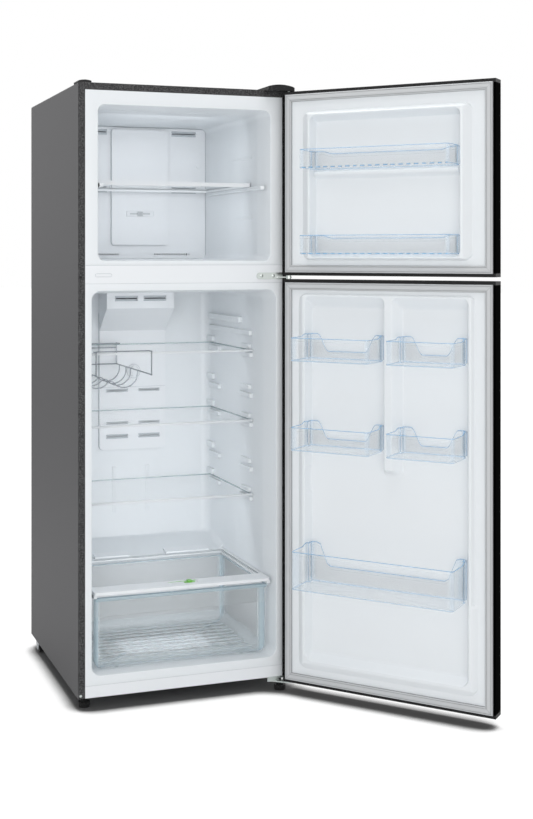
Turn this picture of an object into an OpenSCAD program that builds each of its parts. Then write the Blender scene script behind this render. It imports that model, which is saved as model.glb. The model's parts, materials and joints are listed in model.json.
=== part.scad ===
// Top freezer refrigerator, both doors swung open on their right-hand hinges.
// Millimetres. The floor is z = 0 and the origin lies under the middle of the cabinet.
// Inside from_front() the cabinet's front plane is y = 0 and the compartments run towards +y.

/* [Cabinet] */
// Width of the cabinet
cab_w = 600; // [590:1:640]
// Depth of the cabinet behind its front plane
cab_d = 625; // [615:1:700]
// Height of the cabinet's top above the floor
cab_top = 1666; // [1650:1:1720]
// Height of the cabinet's underside above the floor
cab_bottom = 37; // [35:1:41]
// Thickness of the painted steel sheet
skin_t = 1; // [0.6:0.1:1.4]
// Width of the shell's flange round the front opening
flange_w = 19; // [15:1:22]
// Radius of the shell's top corners
shell_r = 5; // [3:0.5:9]
// Thickness of the vacuum formed liners
liner_t = 2; // [1.5:0.1:2.4]

/* [Compartments] */
// Side wall of the cabinet, from its outside to the fresh food liner
side_wall = 48; // [44:1:52]
// Side wall of the cabinet, from its outside to the freezer liner
freezer_wall = 65; // [62:1:72]
// Rear wall behind the fresh food compartment
fresh_rear = 82; // [78:1:90]
// Rear wall behind the freezer
freezer_rear = 65; // [60:1:72]
// Flare of the liner's mouth on each side
mouth_flare = 11; // [8:1:14]
// Depth of the flared mouth
mouth_d = 75; // [55:1:90]
// Height of the fresh food compartment's floor
fresh_floor = 93; // [90:1:96]
// Height of the fresh food compartment's mouth at its top
fresh_ceiling = 1113; // [1060:1:1180]
// Length of the step over the compressor bay, from the back panel forwards
step_l = 220; // [212:1:226]
// Height of the step's front edge
step_z = 308; // [300:1:320]
// Rise of the step towards the back
step_rise = 27; // [15:1:35]
// Flat face between the fresh food mouth and the cross rail
fresh_face = 20; // [16:1:24]
// Height of the cross rail
rail_h = 48; // [44:1:52]
// Flat face between the cross rail and the freezer's mouth
freezer_face = 12; // [9:1:16]
// Distance from the cabinet's top down to the freezer's mouth
freezer_drop = 57; // [50:1:66]
// Corner radius of the fresh food mouth
fresh_r = 27; // [25:1:45]
// Corner radius of the freezer mouth
freezer_r = 22; // [22:1:40]
// Height of the bottom rail
kick_h = 31; // [26:1:36]

/* [Doors] */
// Opening angle of both doors
door_angle = 131.5; // [90:0.5:131.5]
// Distance from the cabinet's front plane to the door's outer face
door_front = 60; // [56:1:64]
// Distance from the cabinet's underside down to the lower door's edge
door_drop = 5.5; // [4.5:0.5:6]
// Distance from the cross rail's lower edge up to the gap between the doors
gap_rise = 9; // [7:0.5:11]
// Gap between the doors
door_gap = 10.5; // [10:0.5:12]
// Distance from the cabinet's top down to the freezer door's top
door_top_drop = 7.5; // [7:0.5:10]
// Height of the doors' end caps
cap_h = 9.5; // [8:0.5:11]
// Width of the magnetic gasket
gasket_w = 20; // [18:0.5:21]
// Distance from the door's edge to the gasket
gasket_inset = 6.6; // [5:0.2:8]
// Distance of the hinge axis from the cabinet's side
hinge_in = 9.5; // [9:0.1:10]
// Distance of the hinge axis in front of the cabinet
hinge_out = 24.5; // [24:0.1:25]
// Radius of the hinge pins
pin_r = 4; // [3.5:0.1:4.5]

/* [Shelves] */
// Distance from the fresh food mouth's top down to the upper shelf
shelf_drop = 178; // [165:1:190]
// Distance between the upper and the middle shelf
shelf_pitch_1 = 202; // [190:1:215]
// Distance between the middle and the lower shelf
shelf_pitch_2 = 214; // [200:1:225]
// Thickness of the glass
glass_t = 4; // [3:0.5:5]
// Depth at which the fresh food shelves begin
shelf_front = 147; // [140:1:160]
// Space behind the fresh food shelves
shelf_gap = 24; // [20:1:34]
// Height of the freezer shelf's top above the middle of the freezer
freezer_shelf_rise = 12; // [0:1:24]
// Depth at which the freezer shelf begins
freezer_shelf_y = 113; // [108:1:125]

/* [Crisper] */
// Clearance between the drawer and each side wall
drawer_gap = 6; // [5.5:0.5:10]
// Depth at which the drawer begins
drawer_y = 35; // [30:1:45]
// Clearance behind the drawer
drawer_rear_gap = 8; // [6:1:20]
// Gap between the drawer's rim and the cover above it
drawer_drop = 10; // [9:1:25]
// Wall thickness of the drawer and the bins
tub_t = 2.2; // [1.8:0.1:2.6]

/* [Door bins] */
// Height of the freezer bins
freezer_bin_h = 51; // [45:1:58]
// Height of the upper freezer bin above the middle of the freezer
freezer_bin_rise = 39; // [36:1:50]
// Height of the lower freezer bin above the freezer's mouth
freezer_bin_low = 18; // [16:1:30]
// Height of the fresh food bins
bin_h = 63; // [55:1:72]
// Distance from the pocket's top down to the upper pair of bins
bin_drop = 177; // [165:1:190]
// Distance between the upper and the lower pair of bins
bin_pitch = 238; // [225:1:250]
// Height of the bottle bin above the crisper's cover
bottle_bin_rise = 10; // [8:1:20]
// Height of the bottle bin
bottle_bin_h = 102; // [90:1:115]

/* [Cooling] */
// Radius of the compressor's shell
comp_r = 70; // [62:1:72]
// Radius of the refrigerant pipes
pipe_r = 3; // [2.5:0.1:4]
// Radius of the fan's blades
fan_r = 52; // [40:1:54]
// Radius of the temperature dial
dial_r = 22; // [18:0.5:26]
// Radius of the rear rollers
roller_r = 17; // [15:0.5:18]

/* [Hidden] */
$fn = 48;

half_w = cab_w / 2;
face_x = half_w - flange_w;
face_t = skin_t + liner_t;
fresh_x = half_w - side_wall;
freezer_x = half_w - freezer_wall;
fresh_back = cab_d - fresh_rear;
freezer_back = cab_d - freezer_rear;
step_y = cab_d - step_l;
fresh_top = fresh_ceiling - 8;
kick_top = cab_bottom + kick_h;
rail_z = fresh_ceiling + fresh_face;
rail_top = rail_z + rail_h;
rail_lip = 20;
freezer_floor = rail_top + freezer_face;
freezer_sole = freezer_floor + 3;
freezer_mouth_top = cab_top - freezer_drop;
freezer_top = freezer_mouth_top - 6;
freezer_middle = (freezer_floor + freezer_mouth_top) / 2;
step_back_z = step_z + step_rise;
step_slope = step_rise / (fresh_back - step_y);
rear_r = 30;
panel_y = cab_d - 2 * skin_t;
sheet_t = 1.2;
// Screws, each as x and y or x and z
screw_r = 2;
top_screws = [[half_w - 48, 18], [half_w - 16, 18], [half_w - 32, 40]];
mid_screws = [[face_x - 63, rail_z + 18], [face_x - 28, rail_z + 18]];
low_screws = [[half_w - 48, 30], [half_w - 16, 34]];
plug_spots = [[-half_w + 7, rail_z + 17], [-half_w + 7, cab_bottom + 7.6]];
// Compressor bay
bay_y = step_y + 45;
bay_z = step_z - 48;
deck_z = cab_bottom + 1;
deck_t = 2;
deck_top = deck_z + deck_t;
comp_x = 90;
comp_y = bay_y + 88;
foot_x = 67.6;
foot_y = 46;
pad_h = 10;
plate_t = 3;
comp_z = deck_top + pad_h;
discharge_z = 100;
suction_z = 44;
foot_l = [-half_w + 28, 50];
foot_r = [half_w - 24, 6];
foot_bore = cab_bottom + 14;
stud_r = 4;
// Collar between a foot's pad and its stud
collar_r = 10;
axle_y = cab_d - 70;
axle_r = 4;
roller_x = half_w - 16;
roller_w = 16;
shaft_r = 2.5;
fit_gap = 0.08;
// Evaporator, its cover and its fan
cover_y = freezer_back - 60;
cover_base_y = freezer_back - 49;
cover_t = 2.5;
// Height of the slot in a vent
vent_h = 3;
panel_low = freezer_sole + 43;
panel_left = -76;
panel_right = 105;
fan_x = 14;
fan_z = freezer_top - 103;
coil_y = cover_base_y + 23;
row_z = freezer_sole + 46;
rows = 5;
row_pitch = max(9, min(26, (fan_z - fan_r - row_z - 20) / (rows - 1)));
coil_top = row_z + (rows - 1) * row_pitch;
coil_x = 170;
tube_r = 4;
slide_slot_z = (panel_low + fan_z) / 2 - 34.5;
freezer_shelf_z = freezer_middle + freezer_shelf_rise;
freezer_shelf_back = cover_y - 14;
freezer_shelf_x = freezer_x - 5;
shelf_frame_h = 11;
// Fresh food shelves and their supports
shelf_z_1 = fresh_ceiling - shelf_drop;
shelf_z_2 = shelf_z_1 - shelf_pitch_1;
shelf_z_3 = shelf_z_2 - shelf_pitch_2;
shelf_back = fresh_back - shelf_gap;
shelf_half = fresh_x - 1.5;
shelf_deep = 8;
shelf_clear = 2;
trim_d = 11;
support_levels = [shelf_z_1, shelf_z_1 - 118, shelf_z_2, shelf_z_3 + 84, shelf_z_3];
// Air duct and its dial
duct_t = 2.5;
duct_y = fresh_back - 8;
duct_box_y = fresh_back - 98;
duct_x = 106;
duct_low = shelf_z_2 - 127;
duct_bend = fresh_top - 131;
duct_box_z = fresh_top - 59;
dial_z = shelf_z_1 - 87;
dial_x = 2;
vent_l = [-85, -14];
vent_r = [18, 88];
// Bottle rack under the upper shelf
wire_r = 2;
rack_r = -55;
cradle_w = 40;
rack_z = shelf_z_1 - 62;
cradle_z = shelf_z_1 - 71;
rack_back = shelf_back + 4.5;
rack_front = shelf_front - 2.5;
rack_l = rack_r - 4 * cradle_w;
cradle_r = 1.6;
crest_turn = 50;
crest_r = cradle_w / sin(crest_turn) - cradle_w;
// Crisper
cover_z = step_z;
cover_deep = 8;
cover_half = fresh_x - 1;
cover_front = 16;
cover_back = step_y - 2;
slider_x = 12;
drawer_half = fresh_x - drawer_gap;
drawer_back = step_y - drawer_rear_gap;
drawer_top = cover_z - cover_deep - drawer_drop;
drawer_r = 18;
runner_h = 2;
slat_pitch = 30;
// Doors
hinge_x = half_w - hinge_in;
hinge_y = -hinge_out;
fresh_door_z = cab_bottom - door_drop;
door_gap_z = rail_z + gap_rise;
freezer_door_z = door_gap_z + door_gap;
freezer_door_top = cab_top - door_top_drop;
door_half = half_w - 1;
liner_y = -9;
gasket_y = -0.5;
gasket_x = door_half - gasket_inset;
gasket_edge_z = 8.5;
seat_x = gasket_x - 1.4;
pin_depth = 15;
arm_z = door_gap_z + 3.5;
arm_t = 3.5;
bracket_t = 3;
wall_t = 5.5;
freezer_rim_y = 12;
freezer_dike_x = freezer_x + 4;
freezer_rim_x = freezer_dike_x - 22;
freezer_dike_z = freezer_floor + 2;
freezer_dike_top = freezer_mouth_top - 8;
freezer_pocket_y = -18;
fresh_rim_y = 1;
fresh_rim_x = fresh_x - 16;
fresh_dike_z = fresh_floor - 14;
fresh_dike_top = fresh_ceiling - 10;
fresh_pocket_y = -24;
rib_x0 = -21;
rib_x1 = -1;
// Door bins
bin_step = 5;
freezer_bin_z_1 = freezer_middle + freezer_bin_rise;
freezer_bin_z_2 = freezer_floor + freezer_bin_low;
freezer_bin_y = 85;
fresh_bin_x = fresh_rim_x - wall_t - 4.5;
fresh_bin_y = 100;
bin_z_1 = fresh_dike_top - bin_drop;
bin_z_2 = bin_z_1 - bin_pitch;
rib_low = bin_z_2 - 48;
bottle_bin_z = cover_z + bottle_bin_rise;
graphite = "#5b5c5e";
white = "#eef1f4";
steel = "#b9bcc0";
black = "#18191b";

// ---- helpers -------------------------------------------------------------------------------

module from_front() translate([0, -cab_d / 2, 0]) children();

module along_x(x0, x1) translate([x0, 0, 0]) rotate([90, 0, 90]) linear_extrude(x1 - x0) children();

module along_y(y0, y1) translate([0, y1, 0]) rotate([90, 0, 0]) linear_extrude(y1 - y0) children();

module along_z(z0, z1) translate([0, 0, z0]) linear_extrude(z1 - z0) children();

module block(x0, x1, y0, y1, z0, z1) translate([x0, y0, z0]) cube([x1 - x0, y1 - y0, z1 - z0]);

module rod_x(y, z, x0, x1, r) translate([x0, y, z]) rotate([0, 90, 0]) cylinder(r = r, h = x1 - x0);

module rod_y(x, z, y0, y1, r) translate([x, y1, z]) rotate([90, 0, 0]) cylinder(r = r, h = y1 - y0);

module rod_z(x, y, z0, z1, r) translate([x, y, z0]) cylinder(r = r, h = z1 - z0);

module both_sides() {
    children();
    mirror([1, 0, 0]) children();
}

// Rounded rectangle in the plane of an extrusion
module rounded(x0, y0, x1, y1, r) {
    translate([x0 + r, y0]) square([x1 - x0 - 2 * r, y1 - y0]);
    translate([x0, y0 + r]) square([x1 - x0, y1 - y0 - 2 * r]);
    for (x = [x0 + r, x1 - r], y = [y0 + r, y1 - r]) translate([x, y]) circle(r);
}

// Slot or bar with round ends, its long side along the first axis
module pill(x0, y0, x1, y1) rounded(x0, y0, x1, y1, (y1 - y0) / 2 - 0.01);

// Quarter bend of a pipe, in the x-y plane, starting on +x and ending on +y
module bend(bend_r, r, angle = 90) rotate_extrude(angle = angle) translate([bend_r, 0]) circle(r);

module open_door()
    translate([hinge_x, hinge_y, 0]) rotate([0, 0, door_angle]) translate([-hinge_x, -hinge_y, 0]) children();

// ---- cabinet shell -------------------------------------------------------------------------

// Cabinet outline seen from the front, shrunk by g
module shell_outline(g, z0) {
    translate([-half_w + g, z0]) square([cab_w - 2 * g, cab_top - shell_r - z0]);
    translate([-half_w + shell_r, z0]) square([cab_w - 2 * shell_r, cab_top - g - z0]);
    for (s = [-1, 1]) translate([s * (half_w - shell_r), cab_top - shell_r]) circle(shell_r - g);
}

module outer_shell() color(graphite) from_front() difference() {
    along_y(0, cab_d) shell_outline(0, cab_bottom);
    along_y(skin_t, cab_d - skin_t) shell_outline(skin_t, cab_bottom - 1);
    block(-face_x, face_x, -1, skin_t + 1, cab_bottom - 1, cab_top - flange_w);
    block(-half_w + 13, half_w - 13, cab_d - skin_t - 1, cab_d + 1, cab_bottom - 1, cab_top - 13);
    for (p = top_screws) rod_z(p[0], p[1], cab_top - 2 * skin_t, cab_top + 1, screw_r + 0.3);
    // Mitred joint of the flange at both top corners
    both_sides() translate([half_w, 0, cab_top]) rotate([0, 45, 0])
        block(-flange_w * 1.5, 1, -1, 0.25, -0.3, 0.3);
}

module back_panel() color(steel) from_front() difference() {
    union() {
        along_y(panel_y, cab_d - skin_t) shell_outline(skin_t, bay_z + 2);
        // Pressed stiffening beads
        for (k = [0:4]) along_y(cab_d - skin_t, cab_d - skin_t + 0.8)
            pill(-half_w + 60, 420 + k * 260, half_w - 60, 434 + k * 260);
    }
}

// Sheet under the cabinet, stepped up over the compressor bay
module base_plate() color(steel) from_front() difference() {
    union() {
        along_x(-half_w + skin_t, half_w - skin_t) polygon([[rail_lip, cab_bottom], [bay_y, cab_bottom],
            [bay_y, bay_z], [panel_y, bay_z], [panel_y, bay_z + sheet_t], [bay_y - sheet_t, bay_z + sheet_t],
            [bay_y - sheet_t, cab_bottom + sheet_t], [rail_lip, cab_bottom + sheet_t]]);
        rod_z(foot_l[0], foot_l[1], cab_bottom - 6, cab_bottom + sheet_t, 9);
    }
    foot_holes();
    low_screw_holes();
}

// Threaded bore and clearance above each screw foot
module foot_holes() for (p = [foot_l, foot_r]) rod_z(p[0], p[1], 0, foot_bore, stud_r + fit_gap);

module low_screw_holes() for (p = low_screws) rod_z(p[0], p[1], 0, kick_top - 6, screw_r + 0.3);

module kick_rail() color(white) from_front() difference() {
    rail_channel(cab_bottom, kick_top);
    foot_holes();
    low_screw_holes();
}

// Channel open towards the back
module rail_channel(z0, z1) difference() {
    block(-face_x, face_x, 0, rail_lip, z0, z1);
    block(-face_x - 1, face_x + 1, face_t, rail_lip + 1, z0 + liner_t, z1 - liner_t);
}

module mullion_cover() color(white) from_front() difference() {
    union() {
        rail_channel(rail_z, rail_top);
        // Raised ring of the blanked hinge seat on the free side
        along_y(-0.5, 0.5) difference() {
            pill(-face_x + 27, rail_z + 18, -face_x + 73, rail_z + 27);
            pill(-face_x + 28.5, rail_z + 19.5, -face_x + 71.5, rail_z + 25.5);
        }
    }
    for (p = mid_screws) rod_y(p[0], p[1], -1, rail_lip, screw_r + fit_gap);
}

// Hollow of the freezer, grown outwards by g
module freezer_hollow(g) intersection() {
    along_x(-half_w, half_w) polygon([[-1, freezer_floor - g], [mouth_d, freezer_sole - g],
        [freezer_back + g, freezer_sole - g], [freezer_back + g, freezer_top + g],
        [mouth_d, freezer_top + g], [-1, freezer_mouth_top + g]]);
    along_z(0, cab_top) polygon([[-freezer_x - mouth_flare - g, -1], [freezer_x + mouth_flare + g, -1],
        [freezer_x + g, mouth_d], [freezer_x - 4 + g, freezer_back + g],
        [-freezer_x + 4 - g, freezer_back + g], [-freezer_x - g, mouth_d]]);
    along_y(-1, freezer_back + g) rounded(-freezer_x - mouth_flare - g, freezer_floor - g,
        freezer_x + mouth_flare + g, freezer_mouth_top + g, freezer_r + g);
}

// Hollow of the fresh food compartment, grown outwards by g
module fresh_hollow(g) intersection() {
    along_x(-half_w, half_w) polygon([[-1, fresh_floor - g], [step_y + g, fresh_floor - g],
        [step_y + g, step_z - g], [fresh_back + g, step_back_z - g], [fresh_back + g, fresh_top + g],
        [mouth_d, fresh_top + g], [-1, fresh_ceiling + g]]);
    along_z(0, cab_top) {
        polygon([[-fresh_x - mouth_flare - g, -1], [fresh_x + mouth_flare + g, -1],
            [fresh_x + g, mouth_d], [fresh_x + g, fresh_back - rear_r], [-fresh_x - g, fresh_back - rear_r],
            [-fresh_x - g, mouth_d]]);
        translate([-fresh_x + rear_r, 100]) square([2 * (fresh_x - rear_r), fresh_back - 100 + g]);
        for (s = [-1, 1]) translate([s * (fresh_x - rear_r), fresh_back - rear_r]) circle(rear_r + g);
    }
    along_y(-1, fresh_back + g) rounded(-fresh_x - mouth_flare - g, fresh_floor - g,
        fresh_x + mouth_flare + g, fresh_ceiling + g, fresh_r + g);
}

// Flat face of a liner round its mouth, tucked behind the shell's flange
module liner_face(z0, z1, tuck) {
    block(-face_x, face_x, 0, face_t, z0, z1);
    block(-face_x - 8, face_x + 8, skin_t, face_t, z0, z1 + tuck);
}

// Air passage from the freezer down into the duct
module air_passage(g) block(-62 - g, 62 + g, fresh_back - 25 - g, fresh_back - 9 + g,
    fresh_top - 20, freezer_sole + 20);

module freezer_liner() color(white) from_front() union() {
    difference() {
        union() {
            liner_face(rail_top, cab_top - flange_w, 8);
            difference() {
                freezer_hollow(liner_t);
                block(-half_w, half_w, -2, 0, 0, cab_top);
            }
        }
        freezer_hollow(0);
        air_passage(0);
    }
    // Pressed ribs and the shelf's rails on both side walls
    intersection() {
        both_sides() {
            for (z = [freezer_shelf_z - 96, freezer_shelf_z + 75])
                along_x(freezer_x - 5.5, freezer_x + 1) pill(114, z - 5, freezer_shelf_back - 16, z + 5);
            along_x(freezer_x - 11, freezer_x + 1)
                rounded(22, freezer_shelf_z - 22, freezer_shelf_back - 6, freezer_shelf_z - 11, 4);
        }
        freezer_hollow(0.5);
    }
}

// Rounded support moulded on the right-hand wall
module nub(y0, y1, z0, z1, out) along_x(fresh_x - out, fresh_x + 0.5) rounded(y0, z0, y1, z1, 3);

module wall_supports() {
    for (z = support_levels) {
        nub(152, 246, z - 22, z - shelf_deep, 8);
        nub(165, 236, z + shelf_clear, z + shelf_clear + 13, 8);
        nub(shelf_back - 29, shelf_back - 5, z - 22, z - shelf_deep, 8);
        nub(shelf_back - 29, shelf_back - 5, z + shelf_clear, z + shelf_clear + 13, 8);
    }
    nub(242, shelf_back - 3, shelf_z_1 + 75, shelf_z_1 + 91, 6);
    nub(160, shelf_back - 3, shelf_z_1 + 40, shelf_z_1 + 55, 6);
    nub(20, step_y - 4, cover_z - cover_deep - 9, cover_z - cover_deep, 9);
}

module fridge_liner() color(white) from_front() union() {
    difference() {
        union() {
            liner_face(kick_top, rail_z, 0);
            difference() {
                fresh_hollow(liner_t);
                block(-half_w, half_w, -2, 0, 0, cab_top);
            }
        }
        fresh_hollow(0);
        air_passage(0);
    }
    both_sides() wall_supports();
    // Shallow upright beads on the back wall
    for (x = [-57.5, 49]) along_y(fresh_back - 1.5, fresh_back + 0.5)
        rounded(x - 6.5, step_back_z + 75, x + 6.5, shelf_z_3 + 36, 6.4);
}

module cabinet_foam() color("#e8dfb8") from_front() difference() {
    along_y(face_t, panel_y) shell_outline(skin_t, cab_bottom);
    freezer_hollow(liner_t);
    fresh_hollow(liner_t);
    air_passage(0);
    rail_channel(cab_bottom, kick_top);
    rail_channel(rail_z, rail_top);
    block(-half_w, half_w, bay_y - sheet_t, cab_d, cab_bottom - 1, bay_z + sheet_t);
    block(-half_w, half_w, rail_lip, bay_y, cab_bottom - 1, cab_bottom + sheet_t);
    for (s = [-1, 1]) block(s * half_w - 20 * max(s, 0), s * half_w - 20 * min(s, 0), 0, rail_lip, 0, kick_top);
    foot_holes();
    low_screw_holes();
    for (p = mid_screws) rod_y(p[0], p[1], 0, 40, screw_r + 0.5);
    for (p = top_screws) rod_z(p[0], p[1], cab_top - 30, cab_top, screw_r + 0.5);
}

// Cap over the spare hinge holes on the free side
module corner_cap() color(black) from_front() intersection() {
    along_z(cab_top, cab_top + 7) rounded(-half_w + 1, 1, -half_w + 38, 60, 6);
    along_y(0, 70) union() {
        translate([-half_w + 19.5, cab_top - 53]) circle(60);
    }
}

// ---- compressor bay ------------------------------------------------------------------------

module compressor_deck() color(steel) from_front() difference() {
    union() {
        block(-half_w + skin_t, half_w - skin_t, bay_y, panel_y, deck_z, deck_top);
        block(-half_w + skin_t, half_w - skin_t, bay_y, bay_y + deck_t, deck_z, deck_z + 22);
        block(-half_w + skin_t, half_w - skin_t, panel_y - deck_t, panel_y, deck_z, deck_z + 22);
        for (s = [-1, 1], d = [-1, 1]) translate([s * roller_x + d * (roller_w / 2 + 2.5), 0, 0])
            along_x(-1, 1) polygon([[axle_y - 22, deck_z], [axle_y - 9, roller_r - 8],
                [axle_y + 9, roller_r - 8], [axle_y + 22, deck_z]]);
        for (s = [-1, 1]) rod_x(axle_y, roller_r, s * roller_x - roller_w / 2 - 4,
            s * roller_x + roller_w / 2 + 4, axle_r);
    }
    for (x = [-26, 26], y = [-46, 46]) rod_z(comp_x + x * 2.6, comp_y + y, deck_z - 1, deck_top + 1, 3);
}

// Hermetic shell with its seam, carrier plate and terminal box
module compressor() color("#1f2022") from_front() union() {
    translate([comp_x, comp_y, comp_z + 8]) {
        rotate_extrude() intersection() {
            union() {
                translate([0, 34]) square([comp_r, 60]);
                translate([comp_r - 34, 34]) circle(34);
                translate([comp_r - 34, 94]) circle(34);
                square([comp_r - 34, 128]);
            }
            square([comp_r, 160]);
        }
        translate([0, 0, 66]) cylinder(r = comp_r + 3, h = 5);
        // Stubs of the discharge and suction pipes
        rod_x(10, discharge_z, comp_r - 12, comp_r + 8, pipe_r + 2);
        rod_x(-22, suction_z, comp_r - 12, comp_r + 8, pipe_r + 3);
        translate([0, 0, 126]) cylinder(r = 9, h = 8);
        translate([-comp_r - 22, -28, 30]) cube([34, 56, 62]);
    }
    difference() {
        union() {
            translate([comp_x, comp_y, comp_z]) along_z(0, plate_t)
                rounded(-foot_x - 12, -foot_y - 12, foot_x + 12, foot_y + 12, 12);
            rod_z(comp_x, comp_y, comp_z, comp_z + 12, 44);
        }
        for (x = [-foot_x, foot_x], y = [-foot_y, foot_y])
            rod_z(comp_x + x, comp_y + y, comp_z - 1, comp_z + plate_t + 1, 6.3);
    }
}

module compressor_grommets() color(black) from_front()
    for (x = [-foot_x, foot_x], y = [-foot_y, foot_y]) translate([comp_x + x, comp_y + y, deck_top])
        rotate_extrude() polygon([[2.5, 0], [10, 0], [11, 3], [11, 7], [10, pad_h], [6, pad_h],
            [6, pad_h + plate_t + 0.4], [8.5, pad_h + plate_t + 0.4], [7.5, pad_h + 8], [2.5, pad_h + 8]]);

// Open pan that catches the defrost water
module drip_tray() color("#c9ccce") from_front() difference() {
    along_z(deck_top, deck_top + 45) rounded(-half_w + 65, bay_y + 22, -60, bay_y + 150, 12);
    along_z(deck_top + 1.8, deck_top + 46) rounded(-half_w + 66.8, bay_y + 23.8, -61.8, bay_y + 148.2, 10.2);
}

module bay_cover() color(black) from_front() difference() {
    block(-half_w + skin_t + 0.5, half_w - skin_t - 0.5, panel_y, cab_d - skin_t, deck_z, bay_z + 1.5);
    // Louvres
    for (k = [-4:4], j = [0:5]) along_y(panel_y - 1, cab_d)
        pill(k * 58 - 22, 84 + j * 22, k * 58 + 22, 89 + j * 22);
}

// Suction and discharge pipes with the filter drier, up into the cabinet
module refrigerant_pipes() color("#b06a3c") from_front() {
    riser(10, comp_z + 8 + discharge_z, 42, pipe_r);
    riser(-22, comp_z + 8 + suction_z, 24, pipe_r + 1);
    // Filter drier on its own loop
    translate([-20, comp_y + 30, 0]) {
        rod_z(0, 0, bay_z - 30, bay_z, pipe_r);
        rod_z(0, 0, bay_z - 110, bay_z - 30, 9);
        rod_z(0, 0, bay_z - 122, bay_z - 110, pipe_r - 1);
        translate([-10, 0, bay_z - 122]) rotate([90, 0, 0]) rotate([0, 0, 180]) bend(10, pipe_r - 1, 180);
        rod_z(-20, 0, bay_z - 122, bay_z, pipe_r - 1);
    }
}

// Pipe from the compressor's stub, out by len, then up into the bay's ceiling
module riser(dy, z, len, r) translate([comp_x + comp_r + 8, comp_y + dy, 0]) {
    rod_x(0, z, 0, len - 15, r);
    translate([len - 15, 0, z + 15]) rotate([90, 0, 0]) rotate([0, 0, -90]) bend(15, r);
    rod_z(len, 0, z + 15, bay_z, r);
}

// Both rollers turn on axles held by the deck
module rear_rollers() color(black) from_front() for (s = [-1, 1])
    translate([s * roller_x, axle_y, roller_r]) rotate([0, 90, 0]) rotate_extrude() difference() {
        translate([axle_r + fit_gap, -roller_w / 2]) square([roller_r - axle_r - fit_gap, roller_w]);
        translate([9, roller_w / 2]) circle(3);
        translate([9, -roller_w / 2]) circle(3);
    }

// Screw foot: ribbed pad on a stud
module screw_foot(p, stud_top) translate([p[0], p[1], 0]) union() {
    difference() {
        cylinder(r = 16, h = 14);
        for (k = [0:11]) rotate([0, 0, k * 30]) translate([16.6, 0, 3]) cylinder(r = 2, h = 12);
    }
    translate([0, 0, 14]) cylinder(r = collar_r, h = 4);
    translate([0, 0, 18]) cylinder(r = stud_r, h = stud_top - 18);
}

module foot_left() color(black) from_front() screw_foot(foot_l, cab_bottom + 0.5);

module foot_right() color(black) from_front() screw_foot(foot_r, cab_bottom + 0.5);

// ---- freezer cooling -----------------------------------------------------------------------

// Finned coil: two banks of tubes joined by bends, with thin fins
module evaporator() color("#c8cbce") from_front() union() {
    for (d = [-10, 10]) translate([0, coil_y + d, row_z]) {
        for (k = [0:1:rows - 1]) rod_x(0, k * row_pitch, -coil_x, coil_x, tube_r);
        for (k = [0:1:rows - 2]) translate([(k % 2 == 0 ? coil_x : -coil_x), 0, (k + 0.5) * row_pitch])
            rotate([90, 0, 0]) rotate([0, 0, k % 2 == 0 ? -90 : 90]) bend(row_pitch / 2, tube_r, 180);
    }
    translate([-coil_x, coil_y, row_z]) rotate([0, 0, 90]) bend(10, tube_r, 180);
    for (k = [0:23]) translate([-161 + k * 14, 0, 0])
        along_x(-0.3, 0.3) rounded(coil_y - 19, row_z - 12, coil_y + 19, coil_top + 12, 3);
    // End plates rest on the freezer's floor
    for (x = [-coil_x - 6, coil_x + 6]) translate([x, 0, 0])
        along_x(-1, 1) rounded(coil_y - 20, freezer_sole, coil_y + 21, coil_top + 14, 3);
}

module fan_motor() color("#d9dbdc") from_front() union() {
    rod_y(fan_x, fan_z, cover_y + cover_t + 3, coil_y - 4, 21);
    rod_y(fan_x, fan_z, coil_y - 5, coil_y + 18, shaft_r);
    // Three feet on the back of the raised panel
    for (a = [0:120:240]) translate([fan_x, 0, fan_z]) rotate([0, a, 0])
        block(-5, 5, cover_y + cover_t, cover_y + cover_t + 4, 10, 36);
}

module fan_blade() color("#f2f3f4") from_front() translate([fan_x, coil_y, fan_z]) difference() {
    union() {
        rod_y(0, 0, 0, 16, 12);
        for (a = [0:90:270]) rotate([0, a, 0]) translate([8, 8, 0]) rotate([28, 0, 0])
            along_y(-0.9, 0.9) polygon([[0, -5], [30, -13], [fan_r - 12, -15], [fan_r - 8, 0],
                [fan_r - 14, 12], [26, 9], [0, 5]]);
    }
    rod_y(0, 0, -1, 17, shaft_r + fit_gap);
}

// Vent slots of the evaporator cover, as [x0, x1, z0, z1]
vents = [for (x = [[freezer_x - 117, freezer_x - 36], [-freezer_x + 65, -freezer_x + 147]],
    z = [[freezer_top - 26, freezer_top - 9], [freezer_shelf_z - 2, freezer_shelf_z + 7],
        [freezer_shelf_z - 13, freezer_shelf_z - 4]]) [x[0], x[1], z[0], z[1]]];

// Shallow recess in a face at y with a narrow slot through its middle
module vent_slot(x0, x1, z0, z1, y, wall) {
    middle = (z0 + z1) / 2;
    along_y(y - 1, y + wall / 2) rounded(x0, z0, x1, z1, 2);
    block(x0 + 3, x1 - 3, y - 1, y + wall + 1, middle - vent_h / 2, middle + vent_h / 2);
}

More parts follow.
